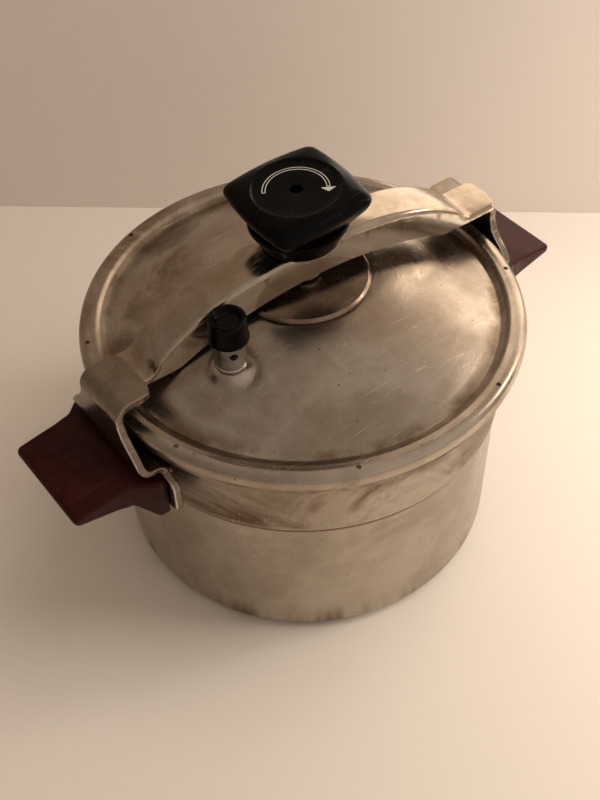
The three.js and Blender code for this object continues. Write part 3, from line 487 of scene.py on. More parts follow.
def finish_with(net, shader, colour, roughness, height, distance, strength=1.0):
    bump = net.add("ShaderNodeBump", {"Height": height, "Distance": distance, "Strength": strength})
    net.tree.links.new(colour, shader.inputs["Base Color"])
    net.tree.links.new(roughness, shader.inputs["Roughness"])
    net.tree.links.new(bump.outputs[0], shader.inputs["Normal"])


def aged_aluminium(name, clean, stain_and_shade_tone, cloud_scale=14.0, roughness=0.3, spun=True, cloud=0.6, extra=None):
    """Worn aluminium: clean and stained tones, where an extra mask may add painted shade to the stain,
    clouds, lines, scratches, pits and brighter edges.
    """
    material, net, shader, place = started(name)
    shader.inputs["Metallic"].default_value = 1.0
    patches = use(net, STAIN, Vector=place, Scale=cloud_scale)
    marks = use(net, SCRATCHES, Vector=place, Amount=1.0)
    spots = use(net, PITS, Vector=place, Scale=240.0)
    worn = use(net, EDGES, Vector=place, Start=0.535)
    if spun:
        grain = use(net, SPUN, Vector=place, Frequency=900.0)
    else:
        grain = net.noise(net.mapped(place, scale=(22, 1500, 1500)), 1.0, 2.0)
    stain_and_shade_mask = net.times(patches, cloud)
    if extra is not None:
        # The extra mask adds to the stain mask: on the lid and the pot it carries painted shade as well as
        # stain.
        stain_and_shade_mask = net.math("MAXIMUM", stain_and_shade_mask, extra(net, place), clamp=True)
    tone = net.mix(stain_and_shade_mask, clean, stain_and_shade_tone)
    tone = net.mix(net.times(net.minus(grain, 0.5), 0.5), tone, (1, 1, 1), "SOFT_LIGHT")
    tone = net.mix(net.times(marks, 0.3), tone, (0.72, 0.65, 0.57))
    tone = net.mix(net.times(spots, 0.75), tone, (0.03, 0.018, 0.012))
    tone = net.mix(net.times(worn, 0.55), tone, (0.88, 0.83, 0.76))
    rough = net.plus(roughness, net.times(net.minus(grain, 0.5), 0.22))
    rough = net.plus(rough, net.times(stain_and_shade_mask, 0.14))
    rough = net.minus(rough, net.times(worn, 0.06), clamp=True)
    height = net.minus(net.times(grain, 0.25), marks)
    height = net.minus(height, net.times(spots, 1.5))
    finish_with(net, shader, tone, rough, height, 0.00005, 0.6)
    return material


def lid_ring_and_shade(net, place):
    """Darker patches on the lid: a broken ring at the foot of the dome, and painted shade in clouds on the
    far side.
    """
    parts = net.add("ShaderNodeSeparateXYZ", {0: place})
    x, y = parts.outputs[:2]
    r = net.reach(x, y)
    foot = net.times(net.ramp(r, 0.098, 0.109), net.ramp(r, 0.117, 0.111))
    broken = net.ramp(net.noise(place, 40.0, 4.0), 0.3, 0.65)
    # Painted shade: clouds that darken the far side of the lid.
    far = net.minus(net.times(y, 0.86), net.times(x, 0.5))
    cloudy = net.ramp(net.noise(place, 15.0, 5.0, 0.62, 0.8), 0.32, 0.6)
    broad = net.times(net.ramp(far, 0.02, 0.09), cloudy)
    return net.math("MAXIMUM", net.times(foot, broken), broad)


def wall_stain_and_shadow(net, place):
    """Brown stain band above the ledge, a painted shadow line under it, and streaks that grow darker towards
    the bottom of the wall.
    """
    height = net.add("ShaderNodeSeparateXYZ", {0: place}).outputs[2]
    wavy = net.plus(height, net.times(net.minus(net.noise(place, 22.0, 3.0), 0.5), 0.012))
    band = net.ramp(wavy, 0.098, 0.104)
    patch = net.ramp(net.noise(net.mapped(place, scale=(1, 1, 2.2)), 12.0, 5.0, 0.62, 0.8), 0.36, 0.66)
    # Painted shadow: a dark line just under the ledge.
    ledge_shadow = net.times(net.ramp(height, 0.096, 0.0985), net.ramp(height, 0.1003, 0.0990))
    streaks = net.noise(net.mapped(place, scale=(55, 55, 5)), 1.0, 4.0)
    low = net.times(net.ramp(height, 0.03, 0.004), net.ramp(streaks, 0.4, 0.7))
    band = net.times(band, patch)
    return net.math("MAXIMUM", net.math("MAXIMUM", band, ledge_shadow), low)


def bakelite(name, deep, worn_tone, roughness, shine, edge=0.35, print_mask=None):
    """Moulded bakelite: mottled gloss, faint flow, dull worn edges and dust."""
    material, net, shader, place = started(name)
    shader.inputs["Specular IOR Level"].default_value = shine
    flow = net.noise(net.mapped(place, scale=(1, 1, 2)), 38.0, 5.0, 0.65, 1.2)
    fine = net.noise(place, 420.0, 3.0)
    worn = use(net, EDGES, Vector=place, Start=0.54)
    marks = use(net, SCRATCHES, Vector=place, Amount=1.0)
    spots = use(net, PITS, Vector=place, Scale=330.0)
    tone = net.mix(net.times(net.ramp(flow, 0.35, 0.75), 0.4), deep, worn_tone)
    tone = net.mix(net.times(worn, edge), tone, worn_tone)
    tone = net.mix(net.times(marks, 0.04), tone, (0.3, 0.22, 0.18))
    tone = net.mix(net.times(spots, 0.05), tone, (0.45, 0.42, 0.4))
    rough = net.plus(roughness, net.times(net.minus(flow, 0.5), 0.3))
    rough = net.plus(rough, net.times(worn, 0.12), clamp=True)
    if print_mask is not None:
        ink = print_mask(net, place)
        tone = net.mix(net.times(ink, 0.9), tone, (0.62, 0.6, 0.56))
        rough = net.blend(ink, rough, 0.55)
    height = net.minus(net.times(fine, 0.5), marks)
    finish_with(net, shader, tone, rough, height, 0.00004, 0.5)
    return material


def turn_arrow(net, place):
    """Printed on the knob: a double line round part of a circle, with an arrowhead."""
    inverse = TURNING.inverted()
    local = net.mapped(place, turn=inverse.to_euler(), move=inverse.to_translation())
    parts = net.add("ShaderNodeSeparateXYZ", {0: local})
    x, y, z = parts.outputs
    r = net.reach(x, y)
    on_top = net.math("GREATER_THAN", z, (KNOB_TOP - 3) * MM)

    def stripe(radius, half):
        gap = net.math("ABSOLUTE", net.minus(r, radius * MM))
        return net.math("LESS_THAN", gap, half * MM)

    lines = net.math("MAXIMUM", stripe(ARC_IN, ARC_LINE), stripe(ARC_OUT, ARC_LINE))
    # Angle measured from the middle of the arc, so that its ends are at equal turns.
    middle = (ARC_START + ARC_END) / 2
    half_arc = (ARC_START - ARC_END) / 2
    cos_m, sin_m = math.cos(middle), math.sin(middle)
    ahead = net.plus(net.times(x, cos_m), net.times(y, sin_m))
    aside = net.minus(net.times(y, cos_m), net.times(x, sin_m))
    angle = net.math("ABSOLUTE", net.math("ARCTAN2", aside, ahead))
    within = net.math("LESS_THAN", angle, half_arc)
    body = net.times(net.times(lines, within), on_top)
    # Ends of the double line.
    close = net.math("LESS_THAN", net.math("ABSOLUTE", net.minus(angle, half_arc)), 0.014)
    ring = (ARC_IN + ARC_OUT) / 2
    ends = net.times(net.times(close, stripe(ring, (ARC_OUT - ARC_IN) / 2)), on_top)
    # Arrowhead: a triangle just past the end, pointing on along the circle.
    tip_x, tip_y = ring * math.cos(ARC_END), ring * math.sin(ARC_END)
    way = ARC_END - math.pi / 2
    cos_w, sin_w = math.cos(way), math.sin(way)
    dx = net.minus(x, tip_x * MM)
    dy = net.minus(y, tip_y * MM)
    forward = net.plus(net.times(dx, cos_w), net.times(dy, sin_w))
    side = net.math("ABSOLUTE", net.minus(net.times(dy, cos_w), net.times(dx, sin_w)))
    left = net.minus(1.0, net.math("DIVIDE", net.minus(forward, ARROW_GAP * MM), ARROW_LONG * MM))
    narrow = net.math("LESS_THAN", side, net.times(left, ARROW_HALF * MM))
    past = net.math("GREATER_THAN", forward, ARROW_GAP * MM)
    head = net.times(net.times(narrow, past), on_top)
    return net.math("MAXIMUM", net.math("MAXIMUM", body, ends), head)


def bare_metal(name, tone, dark, roughness, spun=True):
    """Machined steel or brass with fine tool lines and a little tarnish."""
    material, net, shader, place = started(name)
    shader.inputs["Metallic"].default_value = 1.0
    cloud = use(net, STAIN, Vector=place, Scale=60.0)
    marks = use(net, SCRATCHES, Vector=place, Amount=1.0)
    lines = net.noise(net.mapped(place, scale=(40, 40, 2600) if spun else (900, 900, 900)), 1.0, 3.0)
    colour = net.mix(net.times(cloud, 0.7), tone, dark)
    rough = net.plus(roughness, net.times(net.minus(lines, 0.5), 0.25), clamp=True)
    height = net.minus(net.times(lines, 0.4), marks)
    finish_with(net, shader, colour, rough, height, 0.00004, 0.6)
    return material


def seal_rubber():
    material, net, shader, place = started("seal_rubber")
    fine = net.noise(place, 600.0, 4.0)
    cloud = use(net, STAIN, Vector=place, Scale=40.0)
    colour = net.mix(cloud, (0.022, 0.021, 0.02), (0.06, 0.055, 0.05))
    rough = net.plus(0.6, net.times(fine, 0.25), clamp=True)
    finish_with(net, shader, colour, rough, fine, 0.00005, 0.5)
    return material


LID_METAL = aged_aluminium(
    "lid_aluminium", (0.45, 0.385, 0.315), (0.17, 0.115, 0.075), 13.0, 0.24, True, 0.6, lid_ring_and_shade)
POT_METAL = aged_aluminium(
    "pot_aluminium", (0.48, 0.42, 0.345), (0.13, 0.075, 0.042), 17.0, 0.29, True, 0.35, wall_stain_and_shadow)
# Painted shade: the plate's clean tone is much darker than the lid's, standing in for the shade and dark
# reflection under the yoke and knob.
SHADED_PLATE_METAL = aged_aluminium(
    "plate_aluminium_shaded", (0.26, 0.20, 0.15), (0.13, 0.085, 0.055), 26.0, 0.22, True, 0.7)
YOKE_METAL = aged_aluminium(
    "yoke_aluminium", (0.42, 0.35, 0.27), (0.21, 0.14, 0.09), 24.0, 0.15, False, 0.6)
CATCH_METAL = aged_aluminium(
    "catch_aluminium", (0.25, 0.20, 0.155), (0.12, 0.083, 0.057), 30.0, 0.24, False, 0.6)
STEEL = bare_metal("bare_steel", (0.58, 0.56, 0.53), (0.3, 0.26, 0.22), 0.28)
BRASS = bare_metal("plain_brass", (0.6, 0.45, 0.2), (0.34, 0.24, 0.11), 0.32)
BLACK = bakelite("black_bakelite", (0.0009, 0.0008, 0.0008), (0.0035, 0.003, 0.0028), 0.22, 0.07, 0.4)
KNOB_BLACK = bakelite(
    "knob_bakelite", (0.0009, 0.0008, 0.0008), (0.0035, 0.003, 0.0028), 0.2, 0.07, 0.4, turn_arrow)
RED = bakelite("red_bakelite", (0.020, 0.0015, 0.0012), (0.075, 0.012, 0.005), 0.3, 0.12, 0.6)
RUBBER = seal_rubber()


def ready(obj, material, body, slot, *nodes):
    obj.data.materials.clear()
    obj.data.materials.append(material)
    for polygon in obj.data.polygons:
        polygon.material_index = 0
    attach(obj, body)
    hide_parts(*nodes)
    return obj


# ---------- pot ----------
def pot():
    inner, band = WALL_R - WALL, WALL_R + STEP_OUT
    low = RIM_Z - RIM_H
    return turned("pot", [
        (0, 0, 0), (WALL_R - 17, 0, 0.8), (WALL_R - 15.6, 0.7, 2), (WALL_R, 1.6, 12.5),
        (WALL_R, STEP_Z - 1.6, 0.5), (band, STEP_Z, 0.7), (band, low, 1.6),
        (RIM_R, low, 1.4), (RIM_R, RIM_Z, 1.4), (inner, RIM_Z, 1.4),
        (inner, BASE, BASE_FILLET - WALL), (0, BASE, 0),
    ], 240)


# ---------- lid ----------
def dome_height(r):
    span = DOME_FOOT_R ** 2 - DOME_FLAT_R ** 2
    return DOME_FOOT_Z + DOME_RISE * min(1.0, 1 - (r * r - DOME_FLAT_R ** 2) / span)


def lid():
    bead = LID_R - BEAD_H
    dome = [(r, dome_height(r), 0) for r in spread(44, 104, 50)]
    under = [(r, z - LID_T, 0) for r, z, _ in reversed(dome[::3])]
    arc = [(bead + BEAD_H * math.sin(a), BEAD_Z + BEAD_H * math.cos(a), 0)
           for a in spread(-0.35, 1.6, 14)]
    path = [(0, SEAT_Z, 0), (DOME_FLAT_R, SEAT_Z, 3), *dome, (DOME_FOOT_R - 0.5, DOME_FOOT_Z + 0.2, 0),
            (DOME_FOOT_R + 2.0, DOME_FOOT_Z - 0.2, 2), (DOME_FOOT_R + 5.2, DOME_FOOT_Z + 1.2, 2),
            (DOME_FOOT_R + 7.4, BEAD_Z + BEAD_H - 0.5, 3), *arc,
            (LID_R - 0.3, RIM_Z + 2.5, 2), (LID_R - 1.6, RIM_Z + 0.5, 0.9), (LID_R - 3.2, RIM_Z + 0.5, 0.4),
            (LID_R - 3.2, BEAD_Z + 1.2, 1), (bead, BEAD_Z + BEAD_H - LID_T, 1),
            (DOME_FOOT_R + 7.8, BEAD_Z + BEAD_H - LID_T - 1, 1), (DOME_FOOT_R + 4.6, BEAD_Z - 0.2, 1),
            (DOME_FOOT_R, DOME_FOOT_Z - LID_T, 0), *under, (DOME_FLAT_R, DOME_FOOT_Z + DOME_RISE - LID_T, 1),
            (0, DOME_FOOT_Z + DOME_RISE - LID_T, 0)]
    shell = turned("lid", path, 256)
    for v in shell.data.vertices:
        x, y, z = v.co.x / MM, v.co.y / MM, v.co.z / MM
        near = math.hypot(x - VALVE_X, y - VALVE_Y)
        if near > 19 or z < DOME_FOOT_Z:
            continue
        seat = BOSS_Z if z > dome_height(math.hypot(x, y)) - LID_T / 2 else BOSS_Z - LID_T
        v.co.z = (z + (seat - z) * (1 - ease((near - BOSS_R + 0.6) / 5))) * MM
    drill = grown("cutter", hole_ring_tree(), {
        "Count": HOLE_COUNT, "Ring Radius": (LID_R - BEAD_H + 0.6) * MM, "Hole Radius": HOLE_R * MM,
        "Depth": 4 * MM, "Height": (BEAD_Z + BEAD_H) * MM,
        "First Angle": LID_YAW + math.pi / HOLE_COUNT})
    return cut(shell, drill)


# ---------- catch ----------
def catch(side):
    half = CATCH_T / 2
    x0, x1 = PLATE_X + half, WEB_X + half
    shelf, hook = SHELF_Z - half, HOOK_Z + half
    centre = rounded([
        (x0, PLATE_LOW_Z, 0), (x0, shelf, 4), (x1, shelf, 6.8), (x1, hook, 6.8), (CATCH_INNER_X, hook, 0),
    ], False)
    # More stations on the straight runs, so that the width can change along them.
    stations = []
    for a, b in zip(centre, centre[1:]):
        length = math.hypot(b[0] - a[0], b[1] - a[1])
        count = max(1, int(length / 1.2))
        stations += [(a[0] + (b[0] - a[0]) * k / count, a[1] + (b[1] - a[1]) * k / count)
                     for k in range(count)]
    stations.append(centre[-1])
    widths = [(PLATE_LOW_Z, PLATE_HALF), (SHELF_Z - 10, PLATE_HALF), (SHELF_Z - 6.5, PLATE_HALF - 2),
              (SHELF_Z - 4.5, 36), (SHELF_Z + 2, 34), (BEAD_Z - 4, 29), (BEAD_Z, 24.5), (BEAD_Z + 4, 21),
              (BEAD_Z + 11, 18.2), (HOOK_Z + 9, 18)]
    travelled, rings = 0.0, []
    total = sum(math.hypot(b[0] - a[0], b[1] - a[1]) for a, b in zip(stations, stations[1:]))
    for k, (x, z) in enumerate(stations):
        if k:
            travelled += math.hypot(x - stations[k - 1][0], z - stations[k - 1][1])
        a, b = stations[max(0, k - 1)], stations[min(len(stations) - 1, k + 1)]
        run = Vector((b[0] - a[0], b[1] - a[1])).normalized()
        out = Vector((run.y, -run.x))
        width = line(widths, z)
        for left, corner in ((travelled, 3.0), (total - travelled, 6.0)):
            if left < corner:
                width -= corner - math.sqrt(max(0.0, corner ** 2 - (corner - left) ** 2))
        edge = 1.15
        section = rounded([(-half, -width, edge), (half, -width, edge), (half, width, edge),
                           (-half, width, edge)], True)
        rings.append([(x + out.x * u, v, z + out.y * u) for u, v in section])
    points, faces = loft(rings, False)
    strip = make_piece(f"catch_{side}_piece", points, faces, SIDES[side], 40)
    # The tongue that carries the handle.
    root, end = PLATE_OUT_X - 2, PLATE_OUT_X + TONGUE_LONG
    tongue_path = rounded([(root, -TONGUE_HALF, 0), (end, -TONGUE_HALF, 1.5), (end, TONGUE_HALF, 1.5),
                           (root, TONGUE_HALF, 0)], True)
    rings = [[(x, y, z) for x, y in tongue_path] for z in (TONGUE_Z, TONGUE_Z + TONGUE_T)]
    points, faces = loft(rings, False)
    tongue = make_piece("tongue", points, faces, SIDES[side])
    at_screw = SIDES[side] @ Matrix.Translation((SCREW_X * MM, 0, 0))
    cut(tongue, peg(SCREW_HOLE_R, TONGUE_Z - 2, TONGUE_Z + TONGUE_T + 2, at_screw))
    together(strip, tongue)
    return strip


def together(obj, *others):
    """Adds the other meshes to obj's mesh."""
    work = bmesh.new()
    work.from_mesh(obj.data)
    for other in others:
        work.from_mesh(other.data)
        bpy.data.objects.remove(other)
    work.to_mesh(obj.data)
    work.free()
    return obj


# ---------- handle ----------
def handle(side):
    face = PLATE_OUT_X + CLEAR
    top_in, top_out = SHELF_Z - CATCH_T - 1.3, SHELF_Z - CATCH_T - 4.8
    tops = [(face, top_in), (face + 12, top_in), (HANDLE_END_X, top_out)]
    lows = [(face, HANDLE_LOW_Z), (face + 6, HANDLE_LOW_Z), (face + 10, HANDLE_LOW_Z + 4),
            (face + 17, top_in - 16), (HANDLE_END_X, top_out - 4.6)]
    halves = [(face, HANDLE_FOOT_HALF), (face + 5, HANDLE_FOOT_HALF), (face + 18, HANDLE_HALF + 0.8),
              (face + 26, HANDLE_HALF), (HANDLE_END_X, HANDLE_HALF)]
    rings = []
    stations = [face, face + 0.4, face + 1.2] + spread(face + 2.4, HANDLE_END_X - 3, 42)
    stations += [HANDLE_END_X - 3 * math.cos(a) for a in spread(math.pi / 2 * 0.12, math.pi / 2, 7)]
    stations = sorted(set(min(s, HANDLE_END_X) for s in stations))
    for x in stations:
        top, low, wide = line(tops, x), line(lows, x), line(halves, x, True)
        top += 0.8 * math.sin(math.pi * min(1.0, (x - face) / (HANDLE_END_X - face)))
        left = HANDLE_END_X - x
        if left < 3:
            pull = 1 - math.sqrt(max(0.0, 1 - ((3 - left) / 3) ** 2))
            top, low, wide = top - 2.0 * pull, low + 2.0 * pull, wide - 3.2 * pull
        near = x - face
        if near < 1.2:
            pull = 1 - math.sqrt(max(0.0, 1 - ((1.2 - near) / 1.2) ** 2))
            top, low, wide = top - 0.9 * pull, low + 0.9 * pull, wide - 0.9 * pull
        corner = min(2.0, (top - low) * 0.46)
        section = rounded([(-wide, low, corner), (wide, low, corner), (wide, top, corner),
                           (-wide, top, corner)], True)
        rings.append([(x, y, z) for y, z in section])
    points, faces = loft(rings, False)
    body = make_piece(f"handle_{side}_piece", points, faces, SIDES[side], 40)
    shift = SIDES[side] @ Matrix.Translation((SCREW_X * MM, 0, 0))
    slot_end, slot_half = PLATE_OUT_X + TONGUE_LONG + CLEAR, TONGUE_HALF + CLEAR
    slot_path = [(face - 2, -slot_half), (slot_end, -slot_half), (slot_end, slot_half), (face - 2, slot_half)]
    rings = [[(x, y, z) for x, y in slot_path] for z in (TONGUE_Z - CLEAR, TONGUE_Z + TONGUE_T + CLEAR)]
    points, faces = loft(rings, False)
    slot = make_piece("cutter", points, faces, SIDES[side])
    cutters = [slot, peg(SCREW_HOLE_R, HANDLE_LOW_Z, TONGUE_Z + 1, shift),
               peg(WASHER_R + CLEAR, HANDLE_LOW_Z, TONGUE_Z - 2.4, shift, 48)]
    for y in (-RIVET_Y, RIVET_Y):
        turned_over = Matrix.Translation((0, y * MM, RIVET_Z * MM)) @ Matrix.Rotation(math.pi / 2, 4, "Y")
        cutters.append(peg(RIVET_HEAD_R + CLEAR, face - 2, face + 2.7, SIDES[side] @ turned_over))
    return cut(body, *cutters)


# ---------- yoke ----------
def back_height(x):
    s = min(abs(x) / BEND_X, 1.0)
    return CROWN - FALL_2 * s ** 2 - FALL_4 * s ** 4


def skirt_height(x):
    s = abs(x) / BEND_X
    return SKIRT - SKIRT_FALL_2 * s ** 2 - SKIRT_FALL_4 * s ** 4


def yoke():
    bend_top = back_height(BEND_X)
    tip_low = TIP_Z - YOKE_T
    drop = TIP_Z - bend_top
    fall = [(BEND_X, bend_top), (BEND_X + 2.5, bend_top + drop * 0.45),
            (BEND_X + 5.5, bend_top + drop * 0.85), (BEND_X + 8.5, TIP_Z - 0.3), (YOKE_HALF, TIP_Z)]

    def top(x):
        x = abs(x)
        if x <= BEND_X:
            return back_height(x)
        return line(fall, x)

    def low(x):
        x = abs(x)
        if x >= BEND_X:
            return tip_low
        return max(tip_low, skirt_height(x))

    stations = (spread(0, BEND_X - 8, 46) + spread(BEND_X - 7, BEND_X + 11, 24)
                + spread(BEND_X + 12, YOKE_HALF - 4, 5))
    stations += [YOKE_HALF - 4 + 4 * math.sin(a) for a in spread(0.2, math.pi / 2, 6)]
    stations = sorted(set([-x for x in stations] + stations))
    tops = [sum(top(x + d) for d in (-1.6, -0.8, 0, 0.8, 1.6)) / 5 for x in stations]
    lows = [sum(low(x + d) for d in (-1.6, -0.8, 0, 0.8, 1.6)) / 5 for x in stations]
    rings = []
    for x, up, down in zip(stations, tops, lows):
        wide = YOKE_WIDE / 2
        left = YOKE_HALF - abs(x)
        if left < 4:
            pull = 4 - math.sqrt(max(0.0, 16 - (4 - left) ** 2))
            wide -= pull
        round_up = min(3.6, (up - down) * 0.62, wide * 0.6)
        cavity = ease((BEND_X - 2 - abs(x)) / 7)
        ceiling = down + (up - YOKE_T - down) * cavity
        inner = min(2.4, max(0.01, (ceiling - down) * 0.45))
        crown = 0.5
        section = rounded_channel(wide, up, down, round_up, ceiling, YOKE_WALL, inner, crown)
        rings.append([(x, y, z) for y, z in section])
    points, faces = loft(rings, False)
    body = make_piece("yoke_piece", points, faces, None, 40)
    soften = body.modifiers.new("edge", "BEVEL")
    soften.width = 0.5 * MM
    soften.segments = 2
    soften.limit_method = "ANGLE"
    soften.angle_limit = math.radians(50)
    bpy.context.view_layer.update()
    baked(body)
    cut(body, peg(BUSH_R + CLEAR, 10, 40, None, 64))
    settle(body, LEANING, 40)
    return body


def rounded_channel(wide, up, down, outer, ceiling, wall, inner, crown):
    """Section of the yoke: outside with rounded shoulders, inside with a ceiling."""
    steps = 8
    path = [(-wide, down)]
    for a in spread(math.pi, math.pi / 2, steps):
        path.append((-wide + outer + outer * math.cos(a), up - outer + outer * math.sin(a)))
    flat = wide - outer
    for k in range(1, 6):
        y = -flat + 2 * flat * k / 6
        path.append((y, up + crown * (1 - (y / flat) ** 2)))
    for a in spread(math.pi / 2, 0, steps):
        path.append((wide - outer + outer * math.cos(a), up - outer + outer * math.sin(a)))
    path.append((wide, down))
    side = wide - wall
    path.append((side, down))
    for a in spread(0, math.pi / 2, 4):
        path.append((side - inner + inner * math.cos(a), ceiling - inner + inner * math.sin(a)))
    for a in spread(math.pi / 2, math.pi, 4):
        path.append((-side + inner + inner * math.cos(a), ceiling - inner + inner * math.sin(a)))
    path.append((-side, down))
    return path


# ---------- screw, collar and knob ----------
def knob_outline():
    """Square with bowed sides and rounded corners."""
    q = (KNOB_CORNER - KNOB_ROUND) / math.sqrt(2)
    inset = KNOB_HALF - q
    bow = (inset ** 2 + q * q - KNOB_ROUND ** 2) / (2 * (inset - KNOB_ROUND))
    edge = math.atan2(q, q + bow - KNOB_HALF)
    quarter = [(KNOB_HALF - bow + bow * math.cos(a), bow * math.sin(a)) for a in spread(-edge, edge, 26)]
    quarter += [(q + KNOB_ROUND * math.cos(a), q + KNOB_ROUND * math.sin(a))
                for a in spread(edge, math.pi / 2 - edge, 12)[1:-1]]
    points = []
    for k in range(4):
        c, s = math.cos(k * math.pi / 2), math.sin(k * math.pi / 2)
        points += [(x * c - y * s, x * s + y * c) for x, y in quarter]
    return points


def knob():
    outline = knob_outline()
    well = KNOB_TOP - DISH - WELL_DEEP
    ceiling = well - 2.6
    # Share of the outline and height above the bottom, from the foot up over the shoulder.
    rise = [(0.73, 0), (0.745, 0.3), (0.775, 1.4), (0.80, 2.6), (0.83, 4), (0.865, 5.4), (0.9, 6.8),
            (0.935, 8.3), (0.962, 9.8), (0.983, 11.2), (0.996, 12.4), (1.0, 13.2), (0.998, 13.9),
            (0.988, 14.7), (0.966, 15.6), (0.935, 16.4), (0.895, 17.1), (0.845, 17.7)]
    rings = [("r", BORE_R, ceiling), ("r", BORE_R, KNOB_Z)]
    rings += [("s", share, KNOB_Z + up) for share, up in rise]
    rings += [("m", 0.4, KNOB_Z + 18.4), ("r", RING_R + 0.5, KNOB_TOP), ("r", RING_R + 0.1, KNOB_TOP - 0.06),
              ("r", RING_R - 0.25, KNOB_TOP - 0.35), ("r", RING_R - 0.7, KNOB_TOP - 0.75),
              ("r", RING_R - 1.6, KNOB_TOP - 1.0), ("r", RING_R - 4, KNOB_TOP - DISH + 0.1),
              ("r", RING_R - 9, KNOB_TOP - DISH), ("r", WELL_R + 1, KNOB_TOP - DISH),
              ("r", WELL_R + 0.3, KNOB_TOP - DISH - 0.1), ("r", WELL_R, KNOB_TOP - DISH - 0.5),
              ("r", WELL_R, well), ("r", 2.0, well), ("r", 2.0, ceiling)]
    points = []
    for kind, size, z in rings:
        ring = []
        for x, y in outline:
            reach, circle = math.hypot(x, y), RING_R + 0.5
            if kind == "s":
                share = size
            elif kind == "m":
                share = (circle + (reach * 0.845 - circle) * size) / reach
            else:
                share = size / reach
            ring.append((x * share, y * share, z))
        points.append(ring)
    verts, faces = loft(points, True)
    return make_piece("knob_piece", verts, faces, TURNING, 38)


def collar():
    inner, top = SPINDLE_R + CLEAR, COLLAR_Z + COLLAR_H
    return turned("collar_piece", [
        (COLLAR_LOW_R - 3, COLLAR_Z, 0.5), (COLLAR_LOW_R, COLLAR_Z, 1.2),
        (COLLAR_LOW_R + 0.6, COLLAR_Z + 3, 3), (COLLAR_TOP_R, top - 1.2, 1.5),
        (COLLAR_TOP_R - 0.8, top, 0.5), (inner, top, 0), (inner, top - 3, 0), (COLLAR_LOW_R - 3, top - 3, 1),
    ], 128, TURNING)


def spindle():
    """Screw with a right-hand thread between the foot and the collar."""
    top = KNOB_TOP - DISH - WELL_DEEP - 2.9
    around, pitch_steps = 48, 8
    low, groove, groove_r, thread_low, thread_top = 2.9, 4.9, 4.6, 7.5, 38.5
    count = int((thread_top + 0.5 - groove) / THREAD_PITCH * pitch_steps)
    zs = [low, groove] + [groove + THREAD_PITCH * k / pitch_steps for k in range(1, count)]
    zs += [thread_top + 0.7, top]
    rings = [[(0, 0, low)] * around]
    for z in zs:
        ring = []
        for i in range(around):
            a = TURN * i / around
            r = SPINDLE_R - 0.1
            if groove < z < groove + 1.2:
                r = groove_r
            elif thread_low < z < thread_top:
                phase = (z / THREAD_PITCH - a / TURN) % 1.0
                r = SPINDLE_R - 0.1 - 1.0 * min(1.0, max(0.0, 1.25 * (1 - abs(2 * phase - 1)) - 0.15))
            ring.append((r * math.cos(a), r * math.sin(a), z))
        rings.append(ring)
    rings.append([(0, 0, top)] * around)
    points, faces = loft(rings, False, cap=False)
    return make_piece("screw_spindle_piece", points, faces, TURNING, 50)


def knob_screw():
    well = KNOB_TOP - DISH - WELL_DEEP
    head = turned("knob_screw_piece", [
        (0, well - 9, 0), (1.7, well - 9, 0), (1.7, well + 0.3, 0), (3, well + 0.3, 0.2),
        (3, well + 1.8, 0.6), (2, well + 2.5, 0.5), (0, well + 2.6, 0)], 48)
    slot = make_piece("cutter", *loft([[(-5, -0.45, z), (5, -0.45, z), (5, 0.45, z), (-5, 0.45, z)]
                                       for z in (well + 1.5, well + 4)], False))
    cut(head, slot)
    settle(head, TURNING)
    return head


def foot():
    bore = SPINDLE_R + CLEAR
    return turned("foot_piece", [
        (0, 0.3, 0), (3.9, 0.52, 3), (7.3, 1.08, 3), (9.8, 1.7, 0.5), (9.8, 4.5, 0.6), (8.4, 8.3, 0.5),
        (bore, 8.3, 0.3), (bore, 6.3, 0), (7.6, 6.3, 0), (7.6, 4.7, 0), (bore, 4.7, 0),
        (bore, 2.6, 0), (0, 2.6, 0)], 96, LEANING)


# ---------- valve ----------
def sleeve():
    cap_z, neck_top = SLEEVE_Z + SLEEVE_H, SLEEVE_Z + SLEEVE_H + NECK_H
    body = turned("valve_sleeve_piece", [
        (SLEEVE_BORE_R, SLEEVE_Z, 0), (SLEEVE_R, SLEEVE_Z, 0.5), (SLEEVE_R, cap_z - CLEAR, 0.3),
        (NECK_R, cap_z - CLEAR, 0), (NECK_R, neck_top, 0), (SLEEVE_BORE_R, neck_top, 0)], 96, VALVE)
    holes = []
    for radius, angle, z in ((VENT_R, VENT_ANGLE, cap_z - 6), (1.2, PIN_ANGLE, cap_z - 2.6)):
        aim = (VALVE @ Matrix.Translation((0, 0, z * MM)) @ Matrix.Rotation(angle, 4, "Z")
               @ Matrix.Rotation(math.pi / 2, 4, "Y"))
        holes.append(peg(radius, 2, SLEEVE_R + 2, aim))
    return cut(body, *holes)


def valve_cap():
    low, top = SLEEVE_Z + SLEEVE_H, SLEEVE_Z + SLEEVE_H + CAP_H
    return turned("valve_cap_piece", [
        (0, low + NECK_H + CLEAR, 0), (NECK_R + CLEAR, low + NECK_H + CLEAR, 0), (NECK_R + CLEAR, low, 0.2),
        (CAP_R, low, 0.9), (CAP_R, low + 2.4, 1.5), (CAP_R - 0.5, low + 5.5, 3), (CAP_TOP_R, top - 1.5, 3),
        (CAP_TOP_R - 0.4, top, 0.9), (CAP_TOP_R - 2.2, top - 0.2, 0.9),
        (CAP_TOP_R - 4.0, top - CAP_DISH, 1.8), (0, top - CAP_DISH, 0)], 96, VALVE)


def stem():
    nozzle_top = STEM_Z + STEM_FLANGE_T + NOZZLE_H
    low = BOSS_Z - 7.6 - 1.5 - 4 - 4
    return turned("valve_stem_piece", [
        (1.5, low, 0.2), (5, low, 0.5), (5, STEM_Z, 0), (STEM_FLANGE_R, STEM_Z, 0.3),
        (STEM_FLANGE_R, STEM_Z + STEM_FLANGE_T, 0.7), (NOZZLE_R, STEM_Z + STEM_FLANGE_T, 0.3),
        (NOZZLE_R, nozzle_top - 2.5, 0.5), (2.3, nozzle_top, 0.2), (1.5, nozzle_top, 0)], 80, VALVE)


